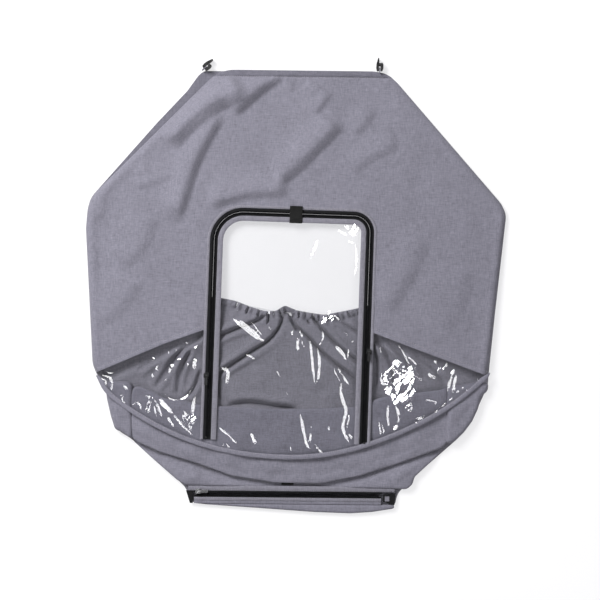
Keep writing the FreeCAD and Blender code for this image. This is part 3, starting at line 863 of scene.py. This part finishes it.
# -------------------------------------------------------------- back layer
OPENING_LOOP = rounded(BACK_OPENING, 9.0, 2.4)
BACK_VALLEYS = unpacked(2, [
    # width, depth, then x,y of each point
    (3, 8, -13,-38, -7.5,-50, -1,-65, 20,-80, 42,-107, 93,-147, 112,-160),
    (3, 7, 26,-50, 45,-72, 65,-94, 95,-118, 125,-138),
    (3.2, 8, -15,-40, -24,-65, -40,-87, -74,-107, -120,-138, -140,-150),
    (3.4, 6.5, -44,-46, -67,-60, -91,-68, -120,-80, -150,-92), (2, 3.5, -4,-46, -4,-60),
    (1.8, 3, 12,-48, 17,-62), (1.8, 3, 35,-52, 36,-62), (2, 3, -30,-44, -36,-56),
    (2.4, 3, 60,-50, 84,-66, 118,-84), (3.4, 3, -118,-132, -124,-160, -120,-188),
    (4.2, 6, -100,-188, -80,-184, -54,-186, -30,-191, 12,-195),
    (3.6, 6, -146,-74, -173,-97, -191,-115, -204,-137, -224,-166),
    (3, 5, -164,-101, -177,-124, -184,-147, -186,-176), (3, 4.5, -150,-137, -157,-160, -173,-178),
    (4, 4, -200,-100, -229,-119, -252,-137), (3.4, 5, 118,-84, 128,-120, 126,-165),
    (3.6, 5.5, 122,-80, 150,-110, 160,-165), (3.4, 5, 140,-84, 176,-112, 192,-160),
    (3.6, 4.5, 170,-96, 214,-122, 240,-158), (6, 5, 122,-84, 180,-106, 240,-129, 300,-152),
    (6, 5, -152,-82, -205,-101, -260,-124, -312,-148), (4.5, 9, -14.6,-27, -14.6,-46),
    (3.2, 9, -8,-40, -3,-60, 4,-72), (1.8, 7, -1,-38, -1.5,-52), (1.8, 7, 6.5,-38, 5,-55),
    (2.2, 8, 16,-42, 18,-57, 26,-62), (1.6, 6, 21.5,-41, 22.2,-57), (2.6, 9, 27,-42, 31,-56, 42,-67),
    (1.6, 6, 37,-45, 38,-58), (2, 8, -25,-36, -21.5,-52), (2.2, 8, -42.4,-39, -41.6,-54, -46,-62),
    (1.6, 5, -34,-40, -33,-50), (2, 5, -55,-36, -60,-50), (2, 4, -72,-31, -78,-46),
    (2, 4, -90,-25, -96,-40), (1.8, 5, 52,-45, 54,-56), (2, 5, 66,-43, 72,-56), (2, 4, 82,-40, 88,-52),
    (2, 4, 98,-37, 104,-50),
])


def back_height(x, y):
    across = x - BACK_MIDDLE_X
    middle = np.exp(-((across / 105.0) ** 4))
    up = ease((-y - 22) / 44.0) * ease((y + 330) / 60.0)
    wide = np.exp(-((across / 235.0) ** 4)) * ease((-y - 40) / 60.0) * ease((y + 300) / 60.0)
    top = 2.2 + 9.0 * middle * up
    top += 4.2 * wide * (1 - middle) * (1 + 0.3 * waves(x, y, 60, 12))
    for path, width, depth in BACK_VALLEYS:
        top += valley(x, y, path, VALLEY_WIDTH_SCALE * width, VALLEY_DEPTH_SCALE * depth)
    top += 0.5 * waves(x, y, 34, 13) * ease((-y - 30) / 40.0)
    d, _, t = near_line(x, y, OPENING_LOOP, True)
    gather = np.sin(GATHERS * t * math.tau / 2 + 1.4 * np.sin(17 * t * math.tau))
    depth = 1.4 + 2.4 * bell(x - 5, 75.0) * (y < 0)
    top += gather * bell(d, 17.0) * ease(d / 2.0 + 0.5) * depth
    top += 1.8 * ease((10.5 - d) / 2.0) - 0.9 * bell(d - 10.0, 1.5)
    top += roll(d, 2.6, np.maximum(top - 1.3, 0.4))
    edge = near_line(x, y, COVER_LOOP, True)[0]
    top = 1.45 + (top - 1.45) * ease(edge / 14.0)
    return np.clip(top, 1.4, np.maximum(layer(y) - 1.2, 1.6))


def in_back(x, y):
    return inside(x, y, COVER_LOOP) & ~inside(x, y, OPENING_LOOP)


def build_back():
    loops = [(COVER_LOOP, True), (OPENING_LOOP, True)]
    folds = [smooth_line(path, 3.0) for path, *_ in BACK_VALLEYS]
    flat, triangles = fill(loops, in_back, 2.6, (0.9, 2.2), folds)
    top = back_height(flat[:, 0], flat[:, 1])
    back = shell("back_layer", flat, triangles, top, CLOTH)
    put(back, "cover", "woven_fabric", lightened_back_cloth, "back_panel_lower", "back_panel_upper",
        "side_gusset_left", "side_gusset_right", "elastic_casing")
    # Painted shade: the strip beyond the front layer's top-left edge gets the darker copy of the cover
    # cloth.
    paint_edge_shade(back, lambda x, y: y > 458.0 + 1.0137 * x)


# ---------------------------------------------------------------- foot end
FOLD_TOP_EDGE = [
    (238, -160), (227, -164), (175, -170), (132, -176), (98, -190), (20, -194),
    (-60, -193), (-118, -189), (-153, -187), (-175, -180), (-204, -178), (-222, -167),
    (-256, -154),
]
FIRST_FOLD_VISIBLE = [(-261, -240), (-213, -261.5), (-155, -279), (-100, -299),
                      (-32, -309.5), (40, -311), (101, -299), (164, -279), (241, -251)]


def folded_sheet(name, outline, node, radius, base, drop, turn, seed, creases=(),
                 step=3.2, puff=0.8, dip=0.0, under=None, slope=0.0, reach=11.0):
    """A cloth fold with its edges rolled down onto what lies below it."""
    loop = rounded(outline, radius, 2.6)
    flat, triangles = fill([(loop, True)], lambda x, y: inside(x, y, loop), step, (0.8, 2.0, 4.0))
    x, y = flat.T
    d = gap(flat, loop, True)
    free = ease(d / 12.0)
    top = base + layer(y) + free * (puff * waves(x, y, 70, seed) + 0.25 * waves(x, y, 24, seed + 1))
    for path, width, height in unpacked(2, creases):
        top += crease(x, y, path, width, height) * free
    if dip:
        below, side, _ = near_line(x, y, under)
        top -= dip * bell(below, reach) + slope * np.clip(below, 0, 26) * (side < 0)
    piece = shell(name, flat, triangles, top + roll(d, turn, drop), CLOTH)
    put(piece, "cover", "woven_fabric", fabric, node)


HEM_CURVE = smooth_line(HEM_LINE[::-1], 6.0)
FOLD_LOWER_EDGE = smooth_line(FIRST_FOLD_VISIBLE, 6.0)


def build_foot():
    folded_sheet("first_fold", FIRST_FOLD_VISIBLE + FOLD_TOP_EDGE, "first_foot_fold",
                 26.0, -1.6, 2.2, 3.6, 21, [
                     (10, 1.8, -214,-240, -150,-262, -70,-279, -30,-290),
                     (12, 1.8, -150,-256, -120,-275, -104,-296),
                     (12, 1.6, -70,-272, -60,-290, -20,-301),
                     (9, 1.6, 90,-280, 60,-292, 20,-298),
                     (12, 1.8, 190,-256, 140,-272, 100,-292),
                     (10, 1.4, 150,-250, 130,-262, 120,-290),
                 ], dip=3.0, under=HEM_CURVE, slope=0.17)
    folded_sheet("foot_gusset_left", LEFT_FOOT_GUSSET, "foot_gusset_left",
                 12.0, -1.9, 11.5, 6.0, 25, [(7, 1.2, -290,-185, -262,-215)])
    folded_sheet("foot_gusset_right", RIGHT_FOOT_GUSSET, "foot_gusset_right",
                 12.0, -1.9, 11.5, 6.0, 27, [(8, 1.4, 236,-235, 285,-180)])
    folded_sheet("second_fold", SECOND_FOLD, "second_foot_fold",
                 12.0, -8.6, 3.0, 4.0, 31, [
                     (8, 1.4, -150,-300, 0,-312, 120,-308),
                     (10, 2.4, -235,-246, -190,-285),
                     (9, 1.8, -150,-285, -190,-305),
                     (10, 2.4, 150,-316, 190,-290, 232,-262),
                     (9, 1.8, 110,-316, 150,-300, 180,-276),
                 ], dip=6.8, under=FOLD_LOWER_EDGE, reach=12.0)
    folded_sheet("foot_end_panel", FOOT_END, "foot_end_panel",
                 20.0, FOOT_LEVEL + 1.2, 3.6, 3.0, 35, step=2.4, puff=0.15)


# ------------------------------------------------------------ clear sheets
FLAP_STREAKS = unpacked(1, [
    # half width, then x,y of each point
    (6, -98,-51, -86,-58, -72,-70, -48,-88), (2.6, -76,-55.5, -67,-59, -56.6,-74, -49,-84),
    (2.4, -88,-36, -90,-42), (3, -42,-38, -41,-46), (3.4, -34,-41, -32,-48), (2.6, -41.6,-63, -38.6,-72),
    (2.8, -5.8,-69, -4.6,-79), (2.8, 6,-69, 11,-82), (3.4, 5.5,-80, 2.7,-89, 4.2,-104),
    (2.6, 9,-84, 13.4,-98), (3.2, 21,-79, 25.2,-104, 27.4,-132, 31.4,-159), (3.4, 41,-71, 44,-79, 37,-95),
    (3.4, 34.2,-94, 37.6,-116, 37.4,-136, 31.4,-159), (4.2, 62,-94, 71,-103, 82,-118),
    (2.8, 83,-96, 80,-120), (2.4, 84,-90, 93,-86), (3, -79,-107, -71,-111, -62,-117),
    (4.2, -118,-127, -106,-132, -105,-142, -109,-156), (2.4, -31,-131, -23.5,-145),
    (2.4, 59.4,-129, 72,-155), (3, 64.4,-127, 85,-158),
    (4, 72,-148, 70,-166, 74,-180, 80.4,-194, 75,-214, 74,-228, 86,-248), (2.8, 84,-203, 79,-225),
    (3, 80.4,-229, 91,-241), (3.4, 7,-198, 11,-220, 16.4,-246, 26,-261), (2.4, 24.4,-216, 25.6,-228),
    (3, 24,-229, 21,-248), (2.6, 27,-246, 43,-263), (2.4, 51.4,-218, 52.8,-228),
    (2.6, -124,-218, -107,-232, -89,-249), (4, -70,-230, -61,-248), (2.2, -118,-252, -108,-246, -101,-255),
    (2.4, -7.7,-250, -7,-261), (2.2, -15,-166, -12,-174), (3.6, 38,-62, 49,-53, 53,-42, 57,-36),
    (3, 56,-46, 64,-50, 70,-58), (2.6, 58,-62.5, 69,-61.5), (2.4, 75,-72, 84,-80),
    (3, 36,74, 28,52, 22,40), (3, 93,70, 96,40, 92,12), (4, 75,95, 90,84, 96,97), (3, 62,88, 84,76),
    (2.6, 80,70, 94,64),
])
LEFT_STREAKS = unpacked(1, [
    # half width, then x,y of each point
    (2.6, -302,-131, -291,-137, -281,-136),
    (2.8, -307,-139.7, -294,-141, -287,-145, -285.5,-160, -291,-167),
    (2.6, -304,-144, -295,-150, -297,-158), (3.4, -305,-153, -294,-163),
    (2.4, -276,-172, -267,-172, -272,-179, -263,-186), (2.6, -273,-154, -262,-160, -266,-166),
    (2.6, -256,-189, -248,-180, -240.5,-188, -242,-196), (2.6, -238,-172, -224,-173, -236,-198),
    (2.6, -223.4,-174, -230,-201), (2.8, -222,-176, -213,-190, -207,-209), (2.2, -221,-184, -217,-208),
    (4.4, -214,-175, -202,-189, -190.8,-200), (3, -191,-200, -181.5,-213, -158,-236),
    (3, -200,-205, -188,-222), (2.6, -177,-202, -170.7,-223),
    (2.6, -206.5,-168, -202,-174, -186,-180, -172,-177, -163,-163, -158,-152),
    (3.8, -156.5,-168, -159,-188, -162.5,-207), (3.4, -173,-192, -170.7,-206, -163.7,-215, -156.5,-205),
    (3.8, -163.7,-213, -164.6,-227), (3, -176,-88, -166,-90), (2.8, -187,-99, -185,-105),
    (3, -198,-101, -196,-108), (3, -215,-122, -217,-134), (2.6, -224,-136, -222,-145),
    (2.4, -220,-112, -226,-122), (3.4, -188,-122, -195,-127, -196.5,-139), (2.6, -178,-112, -185,-119),
    (4.4, -155.5,-114, -158.5,-131), (2.8, -160,-99, -151,-95), (2.4, -168,-120, -169,-128),
    (2.2, -201,-142, -203,-150),
])
RIGHT_STREAKS = unpacked(1, [
    # half width, then x,y of each point
    (2.6, 158,-88, 168.6,-106.6, 178.4,-125, 189,-143), (3, 146,-182, 142.6,-200, 145.6,-225),
    (3.2, 154.6,-182, 161.6,-202, 161.6,-216, 148,-232.5), (2.4, 158,-196, 168,-212),
    (4.6, 177.5,-182, 179.2,-198), (4.2, 187.5,-207.5, 201,-204), (3, 184,-216, 192,-212),
    (2.6, 130,-210, 133,-236), (2.4, 134.2,-214, 139,-233), (3, 198,-178, 225,-185),
    (3.4, 206,-137, 212,-143, 220,-144), (2.8, 217,-116, 218.8,-125), (2.8, 227,-126, 220,-138),
    (2.8, 235,-118, 235.4,-126, 227.5,-134), (4.4, 248,-130, 243,-142, 240,-156, 238,-168),
    (4, 250,-138, 246.5,-154, 245.5,-169), (2.8, 258,-163, 265,-157), (2.6, 249,-167, 257.5,-163.5),
    (3, 237.5,-181, 249,-173), (2.6, 217,-202, 222,-193, 233,-186, 237,-181),
    (3, 282,-136, 290.6,-139, 299,-144), (3, 281.5,-146, 285.5,-150), (2.8, 274,-157, 278,-161.5),
    (2.6, 266,-162, 270,-171), (2.4, 260,-170, 264,-176), (2.4, 131,-92, 135.5,-109),
    (3.2, 136,-138, 132.8,-147.5, 139,-158), (2.8, 172,-112, 182,-116, 190,-126),
])
CRUSHED = [
    # x, y, half width, half height, fold pitch
    (166, -144, 25, 24, 9.0),
    (167, -166, 24, 21, 8.0),
    (50, -52, 9, 7, 6.0),
    (90, 88, 9, 9, 7.0),
    (-163, -209, 7, 9, 6.0),
]
KEY_AZIMUTH = math.radians(135.0)


def crushed(x, y):
    """Patches of close folds whose broad sides all face the main lamp."""
    toward = x * math.cos(KEY_AZIMUTH) + (y - LAMPS_ROUND_Y) * math.sin(KEY_AZIMUTH)
    lean = np.radians(CRUSHED_LEAN - CRUSHED_LEAN_FALL * toward)
    warp = 2.2 * waves(x, y, 36, 91, 5) + 0.15 * waves(x, y, 9, 92, 5)
    ragged = 0.18 * waves(x, y, 18, 93, 5)
    rise = 0.0 * x
    for at_x, at_y, wide, high, pitch in CRUSHED:
        r = np.hypot((x - at_x) / wide, (y - at_y) / high) + ragged
        far = np.mod((-toward + warp) / pitch, 1.0) * pitch
        back = 0.16 * pitch
        face = np.where(far < pitch - back, far, (pitch - far) * (pitch - back) / back)
        rise = np.maximum(rise, np.tan(lean) * face * (r < 1.0))
    return rise


def film_height(x, y, streaks, seed, calm):
    """Clear sheet with creases that stay in it, in the front layer's frame."""
    rise = crushed(x, y)
    for line, half in streaks:
        rise = np.maximum(rise, streak(x, y, line, half))
    free = 1 - ease(rise / 0.6)
    slack = 0.4 * waves(x, y, 90, seed)
    folds = waves(x, y, 30, seed + 2)
    small = 0.10 * waves(x, y, 19, seed + 1) + 0.3 * (1 - np.minimum(np.abs(folds) / 0.4, 1)) ** 2
    return rise + calm * (slack + small * free)


def film_piece(name, loops, keep, paths, seed, body, nodes, calm=1.0):
    streaks = [(smooth_line(path, 2.2), half) for path, half in paths]
    flat, triangles = fill(loops, keep, 1.7, (), [line for line, _ in streaks])
    x, y = flat.T
    d = np.min([gap(flat, *loop) for loop in loops], axis=0)
    top = layer(y) + 0.9 + film_height(x, y, streaks, seed, calm) * ease(d / 5.0)
    piece = shell(name, flat, triangles, top, FILM, 28)
    put(piece, body, "clear_sheet", film, *nodes)
    return piece


def build_films():
    outer = window_loop(9.0, -60.0, 2.5)
    for name, sign, foot, paths, seed, flat_size in (
        ("side_window_left", -1, HOOD_FOOT_LEFT, LEFT_STREAKS, 41, (0.165, 0.185)),
        ("side_window_right", 1, HOOD_FOOT_RIGHT, RIGHT_STREAKS, 44, (0.185, 0.175)),
    ):
        def beside(x, y, sign=sign):
            return (in_front(x, y) & ~inside(x, y, HOOD_SIDE) & (x * sign > 0)
                    & ~inside(x, y, outer))

        loops = [(FRONT_LOOP, True), (resampled(foot, 2.5), False), (outer, True)]
        film_piece(name, loops, beside, paths, seed, "cover", [name])
    inner = window_loop(-7.5, -60.0, 2.5)
    sheet = film_piece("window_sheet", [(FRONT_LOOP, True), (inner, True)],
                       lambda x, y: in_front(x, y) & inside(x, y, inner),
                       FLAP_STREAKS, 47, None, ["lower_clear_strip", "flap_clear_sheet"],
                       0.75)
    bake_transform(sheet)


# -------------------------------------------------------- zips and bindings
def puckers(at, size, seed):
    random = np.random.default_rng(seed)
    total = np.zeros(at.shape)
    for _ in range(5):
        k = math.tau / (size * random.uniform(0.6, 1.8))
        total += np.sin(k * at + random.uniform(0, math.tau))
    return total / 5


def window_band(name, near, far, low, high, foot, body, slot, material, wave=0.3, seed=51):
    path, out, at = window_path(foot, 2.2)
    rows = band_rows(path, out, pillow(near, far, low, high), layer, window_xy,
                     wave * puckers(at, 26, seed))
    put(sweep(name, rows), body, slot, material, name)


def window_stitches(name, offset, height, body):
    path, out, at = window_path(2.0, 2.2)
    x, y = window_xy(*(path + out * offset).T)
    line = np.stack([x, y, layer(y) + height + 0.3 * puckers(at, 26, 51)], 1)
    put(stitches(name, [line]), body, "binding", thread)


def build_window_zip():
    window_band("window_outer_binding", TAPE_EDGE + 0.3, 11.2, 0.2, 2.5, 0.5, "cover",
                "binding", trim)
    window_band("window_outer_tape", 0.15, TAPE_EDGE + 1.0, 0.1, 1.0, 0.5, "cover",
                "zip_tape", black_tape, 0.0)
    window_band("flap_binding", -BINDING_EDGE, -TAPE_EDGE + 0.4, 0.2, 2.8, 0.8, "window_flap",
                "binding", trim, seed=57)
    window_band("flap_tape", -TAPE_EDGE - 1.0, -0.15, 0.1, 1.0, 0.8, "window_flap",
                "zip_tape", black_tape, 0.0)
    for name, sign, body, start in (("window_outer_coil", 1, "cover", 6.0),
                                    ("flap_coil", -1, "window_flap", 6.0 - COIL_PITCH / 2)):
        path, out, _ = window_path(start, COIL_PITCH)
        piece = coil_row(name, path, out, sign * (ZIP_GAP - 0.2), sign * COIL_EDGE, window_xy, layer)
        put(piece, body, "zip_coil", coil_plastic, name)
    window_stitches("window_outer_stitches", TAPE_EDGE + 2.0, 2.35, "cover")
    window_stitches("flap_stitches", -TAPE_EDGE - 1.0, 2.75, "window_flap")


def foot_xy(p, q):
    return turned(FOOT_ORIGIN, FOOT_TURN, p, q)


def foot_height(y):
    return layer(y) + FOOT_LEVEL


def foot_path(start, end, step):
    """Points along the foot zip's centre line and their outward directions."""
    ps = np.arange(start, end, step)
    return ps, np.stack([ps, 0 * ps], 1), np.stack([0 * ps, 0 * ps + 1], 1)


def foot_band(name, near, far, low, high, start, end, body, slot, material, nodes, wave=0.25,
              seed=61):
    ps, path, out = foot_path(start, end + 0.1, FOOT_STEP)
    rows = band_rows(path, out, pillow(near, far, low, high), foot_height, foot_xy,
                     wave * puckers(ps, 24, seed))
    return put(sweep(name, rows), body, slot, material, *nodes)


def build_foot_zip():
    foot_band("foot_upper_binding", 5.0, 13.5, 0.2, 3.0, -8.0, 316.0, "cover", "binding", trim,
              ["foot_upper_binding"])
    foot_band("foot_upper_tape", 2.2, 6.4, 0.1, 1.0, 0.0, FOOT_LENGTH, "cover", "zip_tape",
              black_tape, [], 0.0)
    foot_band("lip_tape", -6.4, -2.2, 0.1, 1.0, 1.0, FOOT_LENGTH, "foot_lip", "zip_tape",
              black_tape, ["lip_tape"], 0.0)
    foot_band("lip_binding", -10.6, -5.0, 0.2, 2.9, 1.0, FOOT_LENGTH, "foot_lip", "binding", trim,
              ["lip_binding"], seed=66)
    lip = foot_band("foot_lip", -14.9, -5.5, 0.0, 1.7, 1.0, FOOT_LENGTH, "foot_lip",
                    "woven_fabric", fabric, ["foot_lip"], seed=68)
    for name, sign, body, shift in (("foot_upper_coil", 1, "cover", 0.0),
                                    ("lip_coil", -1, "foot_lip", COIL_PITCH / 2)):
        _, path, out = foot_path(2.0 + shift, 293.5, COIL_PITCH)
        piece = coil_row(name, path, out, sign * 0.15, sign * 2.9, foot_xy, foot_height)
        put(piece, body, "zip_coil", coil_plastic, name)
    for name, q, height, body, start, end in (
        ("foot_stitches", 6.4, 2.9, "cover", -6.0, 314.0),
        ("lip_stitches", -6.0, 2.75, "foot_lip", 3.0, 295.0),
    ):
        ps = np.arange(start, end, FOOT_STEP)
        x, y = foot_xy(ps, 0 * ps + q)
        line = np.stack([x, y, foot_height(y) + height], 1)
        put(stitches(name, [line]), body, "binding", thread)


def hem_path(step):
    """The lower edge of the clear panel, from its right tip to its left tip."""
    line = smooth_line([(304.5, -137)] + HEM_LINE[:-1] + [(-312, -141)], step)
    ahead = np.gradient(line, axis=0)
    ahead /= np.linalg.norm(ahead, axis=1)[:, None]
    out = np.stack([ahead[:, 1], -ahead[:, 0]], 1)
    probe = (line + out * 6.0)[len(line) // 2:][:1]
    return line, out if inside(*probe.T, FRONT_LOOP)[0] else -out


def build_hem():
    path, out = hem_path(3.0)
    lengths = np.linalg.norm(np.diff(path, axis=0), axis=1)
    lift = 0.35 * puckers(np.concatenate([[0], np.cumsum(lengths)]), 34, 71)
    rows = []
    for index, (point, normal) in enumerate(zip(path, out)):
        room = min(index, len(path) - 1 - index) * 3.0
        full = math.sqrt(min(room / 14.0 + 0.06, 1.0))
        rows += band_rows([point], [normal], pillow(-0.6, -0.6 + HEM_WIDTH * full, -0.5, 2.2 * full),
                          layer, plain, lift[index:index + 1])
    put(sweep("clear_panel_hem", rows), "cover", "binding", fabric, "clear_panel_hem")
    edge = path + out * (HEM_WIDTH - 2.0)
    line = np.column_stack([edge, layer(edge[:, 1]) + 2.05 + lift])
    put(stitches("hem_stitches", [line[6:-6]]), "cover", "binding", thread)


# ------------------------------------------------------- webbing and tabs
def strap(name, corners, low, high, place, height, body):
    """A short piece of webbing: corners are (u0, v0, u1, v1)."""
    u0, v0, u1, v1 = corners
    rows = []
    for v in np.linspace(v0, v1, 10):
        ring = []
        for s, w in pillow(u0, u1, low, high, 0.3, 9):
            x, y = place(s, v)
            ring.append((x, y, height(y) + w))
        rows.append(ring)
    put(sweep(name, rows), body, "webbing", black_webbing, name)


def build_straps():
    strap("closing_tab", (-5, 349.9, 15, 370.5), 3.2, 4.6, window_xy, layer, "closing_tab")
    strap("tab_sewn_end", (-5, 343.5, 15, 349.5), 2.9, 4.6, window_xy, layer, "window_flap")
    strap("strap_end", (-22.0, -297.0, -3.0, -313.2), 0.0, 1.3, plain,
          lambda y: layer(y) - STRAP_END_DROP, "cover")


def build_stitches():
    lines = []
    for shift in (7.0, 3.0):
        for path in (HOOD_FOOT_RIGHT[1:], HOOD_FOOT_LEFT[:4]):
            line = resampled(path, 3.0) + np.array([0.0, shift])
            lines.append(line[in_hood(*line.T)])
    lines.append(resampled(TOP_HEM + np.array([(6, 0), (-6, 0)]), 3.0))
    placed = []
    for line in lines:
        settle, _ = front_settle(*line.T)
        z = layer(line[:, 1]) + 1.6 + hood_rise(*line.T) * settle
        placed.append(np.column_stack([line, z]))
    put(stitches("hood_stitches", placed), "cover", "woven_fabric", thread)


# ------------------------------------------------------- carried CAD nodes
def finish_nodes():
    """Better materials for the hard parts that keep their CAD shape."""
    kinds = [
        (slider_black, "window_zip_stops window_slider_left window_slider_right "
                       "window_pull_left window_pull_right"),
        (slider_bright, "foot_slider foot_pull"),
        (black_tape, "foot_upper_tape"),
        (trim, "foot_zip_end_tab"),
        (elastic, "elastic_band"),
        (clip_plastic, "clip_base_left clip_base_right clip_lever_left clip_lever_right"),
        (spring_steel, "clip_pin_left clip_pin_right clip_spring_left clip_spring_right"),
        (fabric, "corner_tab_left corner_tab_right"),
    ]
    for material, nodes in kinds:
        for node in nodes.split():
            for filled in bpy.data.objects[node].material_slots:
                filled.material = material


# ------------------------------------------------------------ stage, camera
def build_stage():
    mesh = bpy.data.meshes.new("floor")
    half = 4.0
    mesh.from_pydata([(-half, -half, 0), (half, -half, 0), (half, half, 0), (-half, half, 0)],
                     [], [(0, 1, 2, 3)])
    floor = bpy.data.objects.new("floor", mesh)
    floor.location = (0, 0, -0.0003)
    bpy.context.scene.collection.objects.link(floor)
    n = Nodes("floor")
    shades = ((0.3, (0.24, 0.24, 0.24)), (0.7, (0.25, 0.25, 0.25)))
    n.drive(Base_Color=n.ramp(n.noise(6), shades))
    n.set(Roughness=0.9, Specular_IOR_Level=0.1, Emission_Color=(0.985, 0.98, 1.0, 1.0),
          Emission_Strength=0.66)
    mesh.materials.append(n.material)


LAMPS = (
    # azimuth from +X, degrees off vertical, width, depth, radiance
    (135, 50, 1.15, 1.10, 28.5),
    (195, 43, 1.45, 0.42, 5.0),
    (238, 43, 1.45, 0.42, 5.0),
    (300, 43, 1.45, 0.42, 5.0),
    (0, 43, 1.45, 0.42, 5.0),
    (50, 43, 1.45, 0.42, 5.0),
)
LAMP_DISTANCE = 2.4


def build_lamps():
    for index, (azimuth, tilt, width, depth, radiance) in enumerate(LAMPS):
        light = bpy.data.lights.new(f"softbox_{index}", "AREA")
        light.shape = "RECTANGLE"
        light.size = width
        light.size_y = depth
        light.energy = radiance * math.pi * width * depth
        lamp = bpy.data.objects.new(light.name, light)
        a = math.radians(azimuth)
        t = math.radians(tilt)
        spot = Vector((math.cos(a) * math.sin(t), math.sin(a) * math.sin(t), math.cos(t)))
        lamp.location = spot * LAMP_DISTANCE
        lamp.rotation_euler = (-spot).to_track_quat("-Z", "Y").to_euler()
        bpy.context.scene.collection.objects.link(lamp)
    world = bpy.data.worlds.new("studio")
    world.use_nodes = True
    world.node_tree.nodes["Background"].inputs["Color"].default_value = (0.97, 0.98, 1.0, 1)
    world.node_tree.nodes["Background"].inputs["Strength"].default_value = 0.09
    bpy.context.scene.world = world
    bpy.context.scene.view_settings.view_transform = "Standard"
    bpy.context.scene.view_settings.look = "None"


CAMERA_HEIGHT = 2.4
FIELD = 0.942                 # width of the view at the cover's height


def build_camera():
    camera = bpy.data.cameras.new("camera")
    camera.sensor_width = 36.0
    camera.lens = 36.0 * (CAMERA_HEIGHT - 0.01) / FIELD
    eye = bpy.data.objects.new("camera", camera)
    eye.location = (0.0071, -0.0228, CAMERA_HEIGHT)
    bpy.context.scene.collection.objects.link(eye)
    bpy.context.scene.camera = eye


build_camera()
build_lamps()
build_stage()
build_back()
build_hood()
build_foot()
build_films()
build_window_zip()
build_foot_zip()
build_hem()
build_straps()
build_stitches()
finish_nodes()
